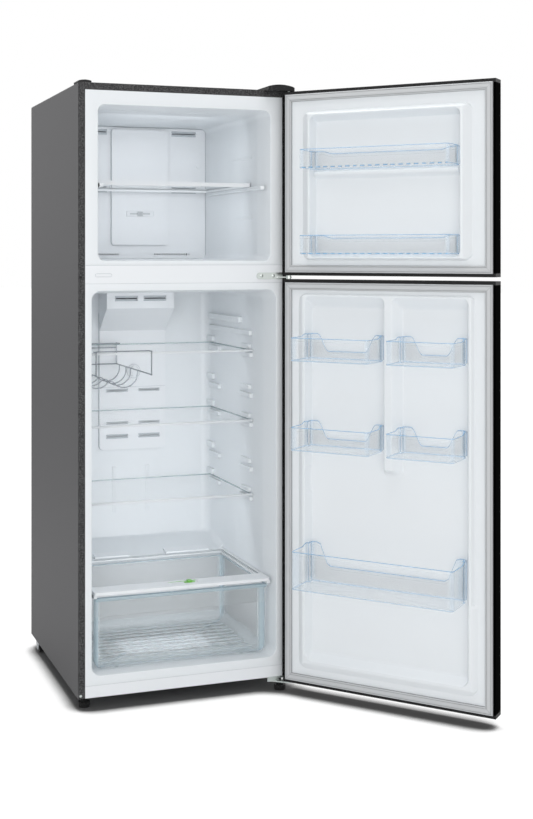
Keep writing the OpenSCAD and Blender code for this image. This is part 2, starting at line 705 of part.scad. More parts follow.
module evaporator_cover() color(white) from_front() difference() {
    union() {
        along_y(cover_base_y, cover_base_y + cover_t)
            rounded(-freezer_x + 4, freezer_sole + 0.5, freezer_x - 4, freezer_top - 0.5, 12);
        // Raised middle panel
        along_y(cover_y, cover_base_y + 1) rounded(panel_left, panel_low, panel_right, freezer_top - 9, 8);
        rod_y(freezer_x - 27, freezer_top - 116, cover_base_y - 3, cover_base_y + 1, 8);
    }
    along_y(cover_y + cover_t, cover_base_y + cover_t + 1)
        rounded(panel_left + cover_t, panel_low + cover_t, panel_right - cover_t, freezer_top - 9 - cover_t, 6);
    for (v = vents) vent_slot(v[0], v[1], v[2], v[3], cover_base_y, cover_t);
    // Toothed return slots along the floor
    for (x = [-freezer_x + 67, freezer_x - 173], k = [0:14]) block(x + k * 8, x + k * 8 + 4,
        cover_base_y - 1, cover_base_y + cover_t + 1, freezer_sole + 11, freezer_sole + 17);
    // Recess and slot of the airflow slider
    block(-30, 58, cover_y - 1, cover_y + 0.8, slide_slot_z - 9, slide_slot_z + 9);
    block(-18, 46, cover_y - 1, cover_y + cover_t + 1, slide_slot_z - 2.5, slide_slot_z + 2.5);
    rod_y(freezer_x - 27, freezer_top - 116, cover_base_y - 4, cover_base_y - 2, 6);
}

// Thumb piece held in its slot by a broad back plate
module airflow_slider() color("#d4d9dd") from_front() union() {
    block(6, 22, cover_y - 4, cover_y + 0.6, slide_slot_z - 7, slide_slot_z + 7);
    block(7, 21, cover_y, cover_y + cover_t + 1, slide_slot_z - 2.2, slide_slot_z + 2.2);
    // Shutter behind the panel, wide enough to fill the slot at both ends of the travel
    block(-38, 66, cover_y + cover_t + 0.2, cover_y + cover_t + 1.7, slide_slot_z - 6, slide_slot_z + 6);
    for (x = [10, 14, 18]) rod_z(x, cover_y - 4, slide_slot_z - 6, slide_slot_z + 6, 0.8);
}

module freezer_shelf_glass() color("#cfe0e4", 0.5) from_front()
    block(-freezer_shelf_x + 5, freezer_shelf_x - 5, freezer_shelf_y + 5, freezer_shelf_back - 6,
        freezer_shelf_z - glass_t - 1, freezer_shelf_z - 1);

module freezer_shelf_trim() color(white) from_front() difference() {
    union() {
        along_z(freezer_shelf_z - shelf_frame_h, freezer_shelf_z)
            rounded(-freezer_shelf_x, freezer_shelf_y, freezer_shelf_x, freezer_shelf_back, 4);
    }
    // Rebate for the glass, open beneath
    block(-freezer_shelf_x + 5, freezer_shelf_x - 5, freezer_shelf_y + 5, freezer_shelf_back - 6,
        freezer_shelf_z - glass_t - 1, freezer_shelf_z - 1);
    block(-freezer_shelf_x + 10, freezer_shelf_x - 10, freezer_shelf_y + 9, freezer_shelf_back - 14,
        freezer_shelf_z - shelf_frame_h - 1, freezer_shelf_z + 1);
    block(-freezer_shelf_x + 7, freezer_shelf_x - 7, freezer_shelf_y + 7, freezer_shelf_back - 9,
        freezer_shelf_z - 2, freezer_shelf_z + 1);
}

// ---- fresh food compartment ----------------------------------------------------------------

duct_vents = [for (x = [vent_l, vent_r], z = [[dial_z - 64, dial_z - 54], [shelf_z_2 - 49, shelf_z_2 - 40],
    [shelf_z_2 - 93, shelf_z_2 - 79]]) [x[0], x[1], z[0], z[1]]];

// Duct's side outline, shrunk by g
module duct_profile(g) polygon([[fresh_back + g * 9, duct_low + g], [duct_y + g, duct_low + g],
    [duct_y + g, duct_bend - g / 2], [duct_box_y + g, duct_box_z + g / 2], [duct_box_y + g, fresh_top + g * 9],
    [fresh_back + g * 9, fresh_top + g * 9]]);

module air_duct() color(white) from_front() difference() {
    intersection() {
        along_x(-duct_x, duct_x) duct_profile(0);
        along_y(duct_box_y - 1, fresh_back) rounded(-duct_x, duct_low, duct_x, fresh_top + 20, 14);
        block(-duct_x, duct_x, duct_box_y - 1, fresh_back, duct_low, fresh_top);
    }
    along_x(-duct_x + duct_t, duct_x - duct_t) duct_profile(duct_t);
    for (v = duct_vents) vent_slot(v[0], v[1], v[2], v[3], duct_y, duct_t);
    for (s = [[-81, -8], [9, 82]]) vent_slot(s[0], s[1], fresh_top - 37, fresh_top - 20, duct_box_y, duct_t);
    rod_y(dial_x, dial_z, duct_y - 1, duct_y + duct_t + 1, 5 + fit_gap);
}

// Dial with a grip bar, its shaft through the duct
module temperature_dial() color(white) from_front() translate([dial_x, 0, dial_z]) union() {
    rod_y(0, 0, duct_y - 3, duct_y - 0.3, dial_r);
    rod_y(0, 0, duct_y - 9, duct_y - 2, dial_r - 6);
    along_y(duct_y - 13, duct_y - 8) intersection() {
        circle(dial_r - 6);
        square([9, 2 * dial_r], center = true);
    }
    rod_y(0, 0, duct_y - 1, duct_y + duct_t + 0.3, 5);
    rod_y(0, 0, duct_y + duct_t + 0.3, duct_y + duct_t + 2, 7);
}

// Pane of one fresh food shelf
module shelf_glass(z) color("#bcd3cf", 0.5) from_front()
    along_z(z - glass_t, z) rounded(-shelf_half, shelf_front + 3, shelf_half, shelf_back, 3);

// White bar gripping the pane's front edge
module shelf_trim(z) color(white) from_front() difference() {
    along_x(-shelf_half, shelf_half) rounded(shelf_front, z - shelf_deep, shelf_front + trim_d, z + 1.2, 1.5);
    block(-cab_w, cab_w, shelf_front + 3, shelf_front + trim_d + 1, z - glass_t, z);
}

module shelf_glass_1() shelf_glass(shelf_z_1);

module shelf_trim_1() shelf_trim(shelf_z_1);

module shelf_glass_2() shelf_glass(shelf_z_2);

module shelf_trim_2() shelf_trim(shelf_z_2);

module shelf_glass_3() shelf_glass(shelf_z_3);

module shelf_trim_3() shelf_trim(shelf_z_3);

// Arc of wire in an upright plane facing the doors
module arc(x, y, z, bend_r, start, turn, r) translate([x, y, z]) rotate([90, 0, 0]) rotate([0, 0, start])
    bend(bend_r, r, turn);

// Wavy wire that carries two bottles side by side
module cradle(y) union() {
    arc(rack_r - cradle_w, y, cradle_z, cradle_w, -90 - crest_turn, 90 + crest_turn, cradle_r);
    arc(rack_l + cradle_w, y, cradle_z, cradle_w, 180, 90 + crest_turn, cradle_r);
    arc(rack_r - 2 * cradle_w, y, cradle_z - (cradle_w + crest_r) * cos(crest_turn), crest_r,
        86 - crest_turn, 2 * crest_turn + 8, cradle_r - 0.15);
    for (x = [rack_r, rack_l]) rod_z(x, y, cradle_z - 1, rack_z, cradle_r - 0.15);
}

module bottle_rack() color("#c8ccd0") from_front() union() {
    for (x = [rack_r, rack_l]) {
        rod_y(x, rack_z, rack_front, rack_back, wire_r);
        rod_z(x, rack_front, rack_z, shelf_z_1 + 3.4, wire_r - 0.3);
        rod_z(x, rack_back, rack_z, shelf_z_1 + 2.2, wire_r - 0.3);
        rod_y(x, shelf_z_1 + 3.4, rack_front, shelf_front + 24, wire_r - 0.1);
        rod_y(x, shelf_z_1 + 2.2, shelf_back - 14, rack_back, wire_r - 0.1);
        for (p = [[rack_front, shelf_z_1 + 3.4], [rack_front, rack_z], [rack_back, rack_z],
            [rack_back, shelf_z_1 + 2.2]]) translate([x, p[0], p[1]]) sphere(wire_r + 0.3);
    }
    rod_x(shelf_front + 23, shelf_z_1 + 3.4, rack_l, rack_r, cradle_r);
    rod_x(shelf_back - 13, shelf_z_1 + 2.2, rack_l - 6, rack_r + 6, cradle_r);
    rod_x(rack_back, shelf_z_1 - glass_t - 8, rack_l, rack_r, cradle_r);
    rod_x(rack_back, rack_z, rack_l, rack_r, cradle_r);
    for (d = [229, 157, 104, 29]) cradle(shelf_back - d);
}

module crisper_cover_frame() color(white) from_front() difference() {
    union() {
        along_z(cover_z - cover_deep, cover_z) rounded(-cover_half, cover_front, cover_half, cover_back, 6);
        // Tabs lying on the step
        for (t = [[-155, -50], [64, 202]]) along_x(t[0], t[1]) polygon([[cover_back - 10, cover_z - 4],
            [cover_back - 10, cover_z + 4], [cover_back + 22, cover_z + 9.5],
            [cover_back + 22, cover_z + 0.4 + 22 * step_slope], [cover_back + 1, cover_z + 0.4],
            [cover_back, cover_z - 4]]);
    }
    // Rebate for the glass, and the opening under it
    block(-cover_half + 9, cover_half - 9, cover_front + 62, cover_back - 12, cover_z - glass_t, cover_z + 1);
    block(-cover_half + 15, cover_half - 15, cover_front + 68, cover_back - 18, 0, cover_z + 1);
    // Slot of the humidity slider
    block(-32, 48, cover_front + 26, cover_front + 44, cover_z - 2, cover_z + 1);
    block(-26, 42, cover_front + 31, cover_front + 39, 0, cover_z + 1);
}

module crisper_cover_glass() color("#bcd3cf", 0.5) from_front()
    block(-cover_half + 9, cover_half - 9, cover_front + 62, cover_back - 12, cover_z - glass_t, cover_z);

module humidity_slider() color("#6fc04a") from_front() union() {
    block(slider_x, slider_x + 30, cover_front + 27, cover_front + 43, cover_z - 2, cover_z - 0.4);
    block(slider_x + 8, slider_x + 20, cover_front + 27, cover_front + 43, cover_z - 1, cover_z + 5);
    block(slider_x + 2, slider_x + 28, cover_front + 31.3, cover_front + 38.7, cover_z - cover_deep - 1, cover_z - 1);
    block(slider_x, slider_x + 30, cover_front + 28, cover_front + 42,
        cover_z - cover_deep - 1.8, cover_z - cover_deep - 0.2);
}

module crisper_drawer() color("#dfe9ee", 0.6) from_front() difference() {
    union() {
        along_y(drawer_y, drawer_back) {
            rounded(-drawer_half, fresh_floor + runner_h, drawer_half, drawer_top, drawer_r);
            translate([-drawer_half, drawer_top - 60]) square([2 * drawer_half, 60]);
        }
        // Handle band across the front
        along_x(-drawer_half, drawer_half) polygon([[drawer_y - 10, drawer_top], [drawer_y + 2, drawer_top],
            [drawer_y + 2, drawer_top - 52], [drawer_y - 2, drawer_top - 50], [drawer_y - 2, drawer_top - 8],
            [drawer_y - 10, drawer_top - 8]]);
        // Runners under the floor
        for (x = [-180, 180]) block(x - 5, x + 5, drawer_y + 20, drawer_back - 10,
            fresh_floor, fresh_floor + runner_h + 1);
    }
    along_y(drawer_y + tub_t, drawer_back - tub_t) {
        rounded(-drawer_half + tub_t, fresh_floor + runner_h + tub_t + 1.2, drawer_half - tub_t,
            drawer_top + 30, drawer_r - tub_t);
    }
    // Grooves between the floor's ribs
    for (k = [0:floor((drawer_back - drawer_y - 32) / slat_pitch)]) block(-drawer_half + 24, drawer_half - 24, drawer_y + 16 + k * slat_pitch,
        drawer_y + 16 + k * slat_pitch + slat_pitch - 4, fresh_floor + runner_h + tub_t, drawer_top);
}

// ---- hinges --------------------------------------------------------------------------------

// Flat lug round the hinge pin, joined to the cabinet's edge
module lug_plan(x0, y0) union() {
    polygon([[x0, y0], [face_x + 2, y0], [hinge_x + 8.7, hinge_y + 2], [hinge_x + 8.7, hinge_y],
        [hinge_x - 3, hinge_y - 8.5], [x0 + 6, -4]]);
    translate([hinge_x, hinge_y]) circle(9);
}

module hinge_pin(z0, z1) rod_z(hinge_x, hinge_y, z0, z1, pin_r);

module middle_hinge() color(steel) from_front() difference() {
    union() {
        along_y(-3, 0) {
            rounded(face_x - 77, rail_z + 8.5, face_x, rail_z + 27, 9);
            translate([face_x - 20, rail_z + 8.5]) square([20, 18.5]);
        }
        along_z(arm_z, arm_z + arm_t) lug_plan(face_x - 21, -1);
        hinge_pin(door_gap_z - pin_depth, freezer_door_z + pin_depth);
        rod_z(hinge_x, hinge_y, arm_z, freezer_door_z, 7);
        rod_z(hinge_x, hinge_y, door_gap_z + 0.3, arm_z + 1, 7);
    }
    for (p = mid_screws) rod_y(p[0], p[1], -4, 1, screw_r + 0.3);
}

module top_hinge() color(steel) from_front() difference() {
    union() {
        along_z(cab_top, cab_top + 3) {
            lug_plan(half_w - 62, 1);
            rounded(half_w - 62, 0, half_w - 4, 52, 8);
        }
        hinge_pin(freezer_door_top - pin_depth, cab_top + 3);
    }
    for (p = top_screws) rod_z(p[0], p[1], cab_top - 1, cab_top + 4, screw_r + 0.3);
}

// Curved cover over the top hinge, hollow and open beneath
module top_hinge_cover() color(black) from_front() difference() {
    cover_dome(0);
    cover_dome(2);
    block(face_x - 100, half_w + 30, -90, 0.2, cab_top - 30, cab_top - 4.5);
}

module cover_dome(g) intersection() {
    along_z(cab_top - 4.5 + (g > 0 ? -5 : 0), cab_top + 14 - g)
        rounded(half_w - 72 + g, -38 + g, half_w + 6 - g, 62 - g, 10 - g);
    along_y(-60, 90) translate([half_w - 38, cab_top - 118]) circle(130 - g);
    union() {
        block(half_w - 100, half_w + 30, -60, -0.5, cab_top - 12, cab_top + 20);
        block(half_w - 100, half_w + 30, -60, 90, g > 0 ? cab_top - 1 : cab_top, cab_top + 20);
    }
}

module bottom_hinge() color(steel) from_front() difference() {
    union() {
        block(half_w - 64, half_w - skin_t, -3, 44, cab_bottom - bracket_t, cab_bottom);
        block(half_w - 64, half_w - skin_t, -3, 0, fresh_door_z - 5.5, cab_bottom + 1);
        along_z(fresh_door_z - 5.5, fresh_door_z - 2.5) lug_plan(half_w - 60, -1);
        hinge_pin(fresh_door_z - 5.5, fresh_door_z + pin_depth);
        rod_z(hinge_x, hinge_y, fresh_door_z - 5.5, fresh_door_z, 7);
    }
    foot_holes();
    low_screw_holes();
    // Room for the foot's collar when the foot is screwed in
    rod_z(foot_r[0], foot_r[1], 0, cab_bottom - bracket_t - 1, collar_r + 0.5);
}

// Pan-head screw with a cross recess, head up
module screw(len) difference() {
    union() {
        translate([0, 0, -len]) cylinder(r = screw_r, h = len + 0.5);
        rotate_extrude() intersection() {
            translate([0, -3.4]) circle(6);
            square([4.4, 2.6]);
        }
    }
    for (a = [0, 90]) rotate([0, 0, a]) translate([-2.2, -0.5, 1.4]) cube([4.4, 1, 2]);
}

module hinge_screws() color(steel) from_front() {
    for (p = top_screws) translate([p[0], p[1], cab_top + 3]) screw(14);
    for (p = mid_screws) translate([p[0], -3, p[1]]) rotate([90, 0, 0]) screw(14);
    for (p = low_screws) translate([p[0], p[1], cab_bottom - bracket_t]) rotate([180, 0, 0]) screw(14);
    // Flat blanking plugs of the free side
    for (p = plug_spots) rod_y(p[0], p[1], -0.3, 0, 3.5);
}

// ---- doors ---------------------------------------------------------------------------------

// Door outline from above, shrunk by g at the front and sides
module door_plan(g) {
    translate([-door_half + g, -door_front + 9]) square([2 * (door_half - g), door_front - 9 + liner_y]);
    translate([-door_half + 9, -door_front + g]) square([2 * (door_half - 9), 20]);
    for (s = [-1, 1]) translate([s * (door_half - 9), -door_front + 9]) circle(9 - g);
}

// Folded steel skin with a return flange round the liner
module door_skin(z0, z1) color(black) from_front() open_door() difference() {
    along_z(z0 + cap_h, z1 - cap_h) door_plan(0);
    difference() {
        along_z(z0, z1) door_plan(0.8);
        block(-door_half, door_half, liner_y - 0.8, 0, z0, z1);
    }
    block(-seat_x, seat_x, liner_y - 2, 1, z0, z1);
}

module pin_bore(z0, z1) rod_z(hinge_x, hinge_y, z0, z1, pin_r + fit_gap);

// Moulded end caps, each with a bush for its hinge pin and a finger recess
module door_caps(z0, z1, grip_low) color(black) from_front() open_door() difference() {
    union() {
        along_z(z0, z0 + cap_h) door_plan(0);
        along_z(z1 - cap_h, z1) door_plan(0);
        rod_z(hinge_x, hinge_y, z0, z0 + 21, 7.5);
        rod_z(hinge_x, hinge_y, z1 - 21, z1, 7.5);
        if (grip_low) grip_tray(z0 + cap_h, z0 + 24, 0);
        if (!grip_low) grip_tray(z1 - 24, z1 - cap_h, 0);
    }
    pin_bore(z0 - 1, z0 + pin_depth + 2);
    pin_bore(z1 - pin_depth - 2, z1 + 1);
    if (grip_low) grip_tray(z0 - 1, z0 + 22, 2);
    if (!grip_low) grip_tray(z1 - 22, z1 + 1, 2);
}

// Finger recess near the free edge, shrunk by g
module grip_tray(z0, z1, g) along_z(z0, z1) rounded(-door_half + 20 + g, -48 + g, -door_half + 150 - g, -20 - g, 8 - g);

// Raised dike round the door's pocket, shrunk by g: foot and rim half widths, foot and rim heights
module dike(foot_w, rim_w, foot_z0, rim_z0, rim_z1, foot_z1, rim_y, g) intersection() {
    along_z(foot_z0 - 1, foot_z1 + 1) polygon([[-foot_w + g, liner_y - 3], [-foot_w + g, liner_y],
        [-rim_w + g, rim_y - g], [rim_w - g, rim_y - g], [foot_w - g, liner_y], [foot_w - g, liner_y - 3]]);
    along_x(-foot_w, foot_w) polygon([[liner_y - 3, foot_z0 + g], [liner_y, foot_z0 + g],
        [rim_y - g, rim_z0 + g], [rim_y - g, rim_z1 - g], [liner_y, foot_z1 - g], [liner_y - 3, foot_z1 - g]]);
    along_y(liner_y - 3, rim_y) rounded(-foot_w + g, foot_z0 + g, foot_w - g, foot_z1 - g, 26 - g);
}

// Pocket with sloping walls between two plan outlines, grown by g
module pocket(x0, x1, slope_0, slope_1, z0, z1, slope_low, slope_top, rim_y, floor_y, g) intersection() {
    along_z(z0 - g, z1 + g) polygon([[x0 - g, rim_y + 1], [x1 + g, rim_y + 1], [x1 + g, rim_y - 6],
        [x1 - slope_1 + g, floor_y - g], [x0 + slope_0 - g, floor_y - g], [x0 - g, rim_y - 6]]);
    along_x(x0 - g, x1 + g) polygon([[rim_y + 1, z0 - g], [rim_y - 6, z0 - g], [floor_y - g, z0 + slope_low - g],
        [floor_y - g, z1 - slope_top + g], [rim_y - 6, z1 + g], [rim_y + 1, z1 + g]]);
    along_y(floor_y - g, rim_y + 1) rounded(x0 - g, z0 - g, x1 + g, z1 + g, 18 + g);
}

module freezer_dike(g) dike(freezer_dike_x, freezer_rim_x, freezer_dike_z, freezer_dike_z + 4,
    freezer_dike_top - 9, freezer_dike_top, freezer_rim_y, g);

module freezer_pocket(g) pocket(-freezer_rim_x + wall_t, freezer_rim_x - wall_t, 7, 7, freezer_dike_z + 9,
    freezer_dike_top - 14, 7, 14, freezer_rim_y, freezer_pocket_y, g);

module fresh_dike(g) difference() {
    dike(fresh_x, fresh_rim_x, fresh_dike_z, fresh_dike_z + 18, fresh_dike_top - 3, fresh_dike_top,
        fresh_rim_y, g);
    // Step in the free side's slope
    along_z(bottle_bin_z - 8 - g, cab_top) polygon([[-half_w + 30, liner_y - 4], [-half_w + 30, 5], [-fresh_rim_x + g, 5],
        [-fresh_rim_x + g, fresh_rim_y - g], [-fresh_x + 9 + g, liner_y], [-fresh_x + 9 + g, liner_y - 4]]);
}

// Two pockets beside the middle rib, one wide pocket under it
module fresh_pocket(g) {
    px = fresh_rim_x - wall_t;
    top = fresh_dike_top - 8;
    pocket(rib_x1, px, 8, 9, rib_low - 240, top, 0, 28, fresh_rim_y, fresh_pocket_y, g);
    pocket(-px, rib_x0, 9, 24, rib_low - 240, top, 0, 28, fresh_rim_y, fresh_pocket_y, g);
    pocket(-px, px, 9, 9, fresh_dike_z + 24, rib_low, 20, 0, fresh_rim_y, fresh_pocket_y, g);
}

module liner_sheet(z0, z1) block(-seat_x, seat_x, liner_y - 3, liner_y, z0 + cap_h, z1 - cap_h);

// Lug on a pocket's wall that carries one end of a bin
module bin_lug(x0, x1, z0, z1, y1) along_z(z0, z1) rounded(x0, y1 - 17, x1, y1 - 3, 3);

// Height at which a bin's hooks rest on the lugs
function lug_top(z, h) = z + h + 6;

module freezer_lugs() both_sides() for (z = [freezer_bin_z_1, freezer_bin_z_2])
    bin_lug(freezer_rim_x - wall_t - 6.5, freezer_rim_x - wall_t + 2, z + 18, lug_top(z, freezer_bin_h), freezer_rim_y);

module fresh_lugs() for (z = [bin_z_1, bin_z_2]) {
    bin_lug(rib_x1 - 2, rib_x1 + 9, z + 20, lug_top(z, bin_h), fresh_rim_y);
    bin_lug(fresh_bin_x - 2.5, fresh_rim_x - wall_t + 2, z + 20, lug_top(z, bin_h), fresh_rim_y);
    bin_lug(rib_x0 - 25, rib_x0 + 2, z + 20, lug_top(z, bin_h), fresh_rim_y);
    bin_lug(-fresh_rim_x + wall_t - 2, -fresh_bin_x + 2.5 + 4, z + 20, lug_top(z, bin_h), fresh_rim_y);
}

module bottle_lugs() both_sides() bin_lug(fresh_bin_x - 4.5, fresh_rim_x - wall_t + 2, bottle_bin_z + 20,
    lug_top(bottle_bin_z, bottle_bin_h), fresh_rim_y);

module freezer_door_liner() color(white) from_front() open_door() union() {
    difference() {
        union() {
            liner_sheet(freezer_door_z, freezer_door_top);
            freezer_dike(0);
            intersection() {
                freezer_pocket(liner_t);
                block(-half_w, half_w, -60, liner_y, 0, cab_top);
            }
        }
        difference() {
            freezer_dike(liner_t);
            freezer_pocket(liner_t);
        }
        freezer_pocket(0);
    }
    // Ledge under the upper bin
    intersection() {
        translate([0, 0, freezer_bin_z_1]) along_x(-freezer_rim_x, freezer_rim_x)
            polygon([[-19, -23], [-3, -16], [-1, -13], [-1, -6], [-19, -4]]);
        freezer_pocket(0.5);
    }
    freezer_lugs();
}

module fridge_door_liner() color(white) from_front() open_door() union() {
    difference() {
        union() {
            liner_sheet(fresh_door_z, door_gap_z);
            fresh_dike(0);
            intersection() {
                fresh_pocket(liner_t);
                block(-half_w, half_w, -60, liner_y, 0, cab_top);
            }
        }
        difference() {
            fresh_dike(liner_t);
            fresh_pocket(liner_t);
        }
        fresh_pocket(0);
    }
    fresh_lugs();
    bottle_lugs();
}

module door_foam(z0, z1) difference() {
    along_z(z0 + cap_h, z1 - cap_h) door_plan(0.8);
    block(-door_half, door_half, liner_y - 0.8, liner_y + 0.01, z0, z1);
    block(-seat_x, seat_x, liner_y - 3, liner_y + 0.01, z0, z1);
    for (z = [z0, z1]) rod_z(hinge_x, hinge_y, z - 21, z + 21, 7.5);
}

module freezer_door_foam() color("#e8dfb8") from_front() open_door() difference() {
    union() {
        door_foam(freezer_door_z, freezer_door_top);
        freezer_dike(liner_t);
    }
    freezer_pocket(liner_t);
    freezer_lugs();
    grip_tray(freezer_door_z, freezer_door_z + 24, 0);
}

module fridge_door_foam() color("#e8dfb8") from_front() open_door() difference() {
    union() {
        door_foam(fresh_door_z, door_gap_z);
        fresh_dike(liner_t);
    }
    fresh_pocket(liner_t);
    fresh_lugs();
    bottle_lugs();
    grip_tray(door_gap_z - 24, door_gap_z, 0);
}

// Ring of the gasket between two insets and two depths
module gasket_ring(z0, z1, a, b, y0, y1) along_y(y0, y1) difference() {
    rounded(-gasket_x + a, z0 + a, gasket_x - a, z1 - a, 3);
    rounded(-gasket_x + b, z0 + b, gasket_x - b, z1 - b, 3);
}

module door_gasket(z0, z1) color("#b1b2b0") from_front() open_door() union() {
    gasket_ring(z0, z1, 0, gasket_w, liner_y, -4.5);
    gasket_ring(z0, z1, 1, 6, -4.6, -1.5);
    gasket_ring(z0, z1, 7.5, 13, -4.6, gasket_y);
    gasket_ring(z0, z1, 14.5, gasket_w - 0.5, -4.6, -2);
}

module freezer_door_skin() door_skin(freezer_door_z, freezer_door_top);

module freezer_door_caps() door_caps(freezer_door_z, freezer_door_top, true);

module freezer_door_gasket() door_gasket(freezer_door_z + gasket_edge_z, freezer_door_top - gasket_edge_z);

module fridge_door_skin() door_skin(fresh_door_z, door_gap_z);

module fridge_door_caps() door_caps(fresh_door_z, door_gap_z, false);

module fridge_door_gasket() door_gasket(fresh_door_z + gasket_edge_z, door_gap_z - gasket_edge_z);

// ---- door bins -----------------------------------------------------------------------------

// Bin outline from above, shrunk by g; the rear part steps in to enter the pocket
module bin_plan(x0, x1, in0, in1, y0, y1, ystep, g) {
    rounded(x0 + g, ystep + g, x1 - g, y1 - g, 6 - g);
    translate([x0 + g, ystep + g]) square([x1 - x0 - 2 * g, 10]);
    translate([x0 + in0 + g, y0 + g]) square([x1 - x0 - in0 - in1 - 2 * g, ystep + 14 - y0]);
}

// Clear bin: low scooped back, ends rising towards the rear, hooks resting on the lugs
module bin_body(x0, x1, in0, in1, y0, y1, ystep, z, h, scoop) union() {
    difference() {
        along_z(z, z + h + 14) bin_plan(x0, x1, in0, in1, y0, y1, ystep, 0);
        along_z(z + tub_t, z + h + 15) bin_plan(x0, x1, in0, in1, y0, y1, ystep, tub_t);
        along_x(x0 - 1, x1 + 1) polygon([[y1 + 1, z + h], [ystep + 36, z + h], [ystep + 16, z + h + 10],
            [ystep + 2, z + h + 14.1], [y1 + 1, z + h + 14.1]]);
        along_y(y0 - 1, y0 + tub_t + 1) {
            rounded(x0 + in0 + 30, z + scoop, x1 - in1 - 30, z + h + 40, 12);
        }
    }
    // Rolled front lip
    block(x0 + 6, x1 - 6, y1 - tub_t - 1, y1 - 0.4, z + h - 7, z + h);
}

// Hook at one end of a bin, between the end wall and the pocket
module bin_hook(x0, x1, z, h, rim_y) along_z(lug_top(z, h), z + h + 14) rounded(x0, rim_y - 16, x1, rim_y - 4, 1.5);

module freezer_bin(z) color("#cfe6f2", 0.5) from_front() open_door() {
    x = freezer_rim_x - wall_t - 3.5;
    bin_body(-x, x, bin_step, bin_step, freezer_rim_y - 26, freezer_bin_y, freezer_rim_y + 1.5, z,
        freezer_bin_h, 22);
    both_sides() bin_hook(x - bin_step - 1, x - 0.8, z, freezer_bin_h, freezer_rim_y);
}

module freezer_bin_upper() freezer_bin(freezer_bin_z_1);

module freezer_bin_lower() freezer_bin(freezer_bin_z_2);

module hinge_side_bin(z) color("#cfe6f2", 0.5) from_front() open_door() {
    bin_body(4, fresh_bin_x + 1, 5.5, 7, fresh_rim_y - 21, fresh_bin_y, fresh_rim_y + 1.5, z, bin_h, 26);
    bin_hook(4.2, 10.5, z, bin_h, fresh_rim_y);
    bin_hook(fresh_bin_x - 7, fresh_bin_x - 0.8, z, bin_h, fresh_rim_y);
}

module free_side_bin(z) color("#cfe6f2", 0.5) from_front() open_door() {
    bin_body(-fresh_bin_x + 1, -43, 7, 5.5, fresh_rim_y - 21, fresh_bin_y, fresh_rim_y + 1.5, z, bin_h, 26);
    bin_hook(-49.5, -42, z, bin_h, fresh_rim_y);
    bin_hook(-fresh_bin_x + 1, -fresh_bin_x + 9, z, bin_h, fresh_rim_y);
}

module fridge_bin_upper_hinge() hinge_side_bin(bin_z_1);

module fridge_bin_upper_free() free_side_bin(bin_z_1);

module fridge_bin_lower_hinge() hinge_side_bin(bin_z_2);

module fridge_bin_lower_free() free_side_bin(bin_z_2);

module bottle_bin() color("#cfe6f2", 0.5) from_front() open_door() {
    bin_body(-fresh_bin_x + 2, fresh_bin_x - 2, 7, 7, fresh_rim_y - 21, fresh_bin_y, fresh_rim_y + 1.5,
        bottle_bin_z, bottle_bin_h, 60);
    both_sides() bin_hook(fresh_bin_x - 10, fresh_bin_x - 2, bottle_bin_z, bottle_bin_h, fresh_rim_y);
}

// ---- nodes ---------------------------------------------------------------------------------

outer_shell();
back_panel();
base_plate();
kick_rail();
mullion_cover();
freezer_liner();
fridge_liner();
cabinet_foam();
corner_cap();
compressor_deck();
compressor();
compressor_grommets();
drip_tray();
bay_cover();
refrigerant_pipes();
evaporator();
fan_motor();
fan_blade();
evaporator_cover();
airflow_slider();
freezer_shelf_glass();
freezer_shelf_trim();
air_duct();
temperature_dial();
shelf_glass_1();
shelf_trim_1();
shelf_glass_2();
shelf_trim_2();
shelf_glass_3();
shelf_trim_3();
crisper_cover_frame();
crisper_cover_glass();
humidity_slider();
crisper_drawer();
bottle_rack();
top_hinge();
top_hinge_cover();
middle_hinge();
bottom_hinge();
hinge_screws();
foot_left();
foot_right();
rear_rollers();
freezer_door_skin();
freezer_door_caps();
freezer_door_foam();
freezer_door_liner();
freezer_door_gasket();
fridge_door_skin();
fridge_door_caps();
fridge_door_foam();
fridge_door_liner();
fridge_door_gasket();
freezer_bin_upper();
freezer_bin_lower();
fridge_bin_upper_hinge();
fridge_bin_upper_free();
fridge_bin_lower_hinge();
fridge_bin_lower_free();
bottle_bin();
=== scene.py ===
"""Looks of a top freezer refrigerator with both doors swung open.

Every size is in metres in the object's own frame: the floor is z = 0, the origin lies under the
middle of the cabinet, -y points out of the compartments. Pieces of a door are shaped as if the door
were shut, then turned about the hinge line. Lengths written with mm() are millimetres.
"""
import json
import logging
from dataclasses import dataclass, field
from enum import Enum
from functools import lru_cache
from typing import Callable, Sequence

import bpy
import numpy as np
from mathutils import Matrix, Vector


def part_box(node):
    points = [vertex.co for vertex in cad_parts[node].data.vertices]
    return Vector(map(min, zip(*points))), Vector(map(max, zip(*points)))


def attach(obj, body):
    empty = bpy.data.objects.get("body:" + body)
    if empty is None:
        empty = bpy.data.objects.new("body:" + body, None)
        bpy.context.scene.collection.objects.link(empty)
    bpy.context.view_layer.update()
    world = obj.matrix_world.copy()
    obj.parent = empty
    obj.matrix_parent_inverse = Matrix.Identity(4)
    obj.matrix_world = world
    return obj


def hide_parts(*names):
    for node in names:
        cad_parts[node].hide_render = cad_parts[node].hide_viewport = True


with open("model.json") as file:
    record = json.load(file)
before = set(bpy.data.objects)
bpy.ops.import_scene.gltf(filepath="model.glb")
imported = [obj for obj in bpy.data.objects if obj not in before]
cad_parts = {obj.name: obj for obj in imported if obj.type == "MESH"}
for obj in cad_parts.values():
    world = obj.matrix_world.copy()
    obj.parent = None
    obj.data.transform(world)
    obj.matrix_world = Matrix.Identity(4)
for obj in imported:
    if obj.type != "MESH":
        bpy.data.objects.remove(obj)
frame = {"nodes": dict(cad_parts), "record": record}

LOG = logging.getLogger("refrigerator")
# Front plane of the cabinet, in metres
FRONT = -0.3125
# Width and height of the frame that the camera's focal length and centre are counted in
PICTURE_SHAPE = (533, 819)
SENSOR_MM = 36
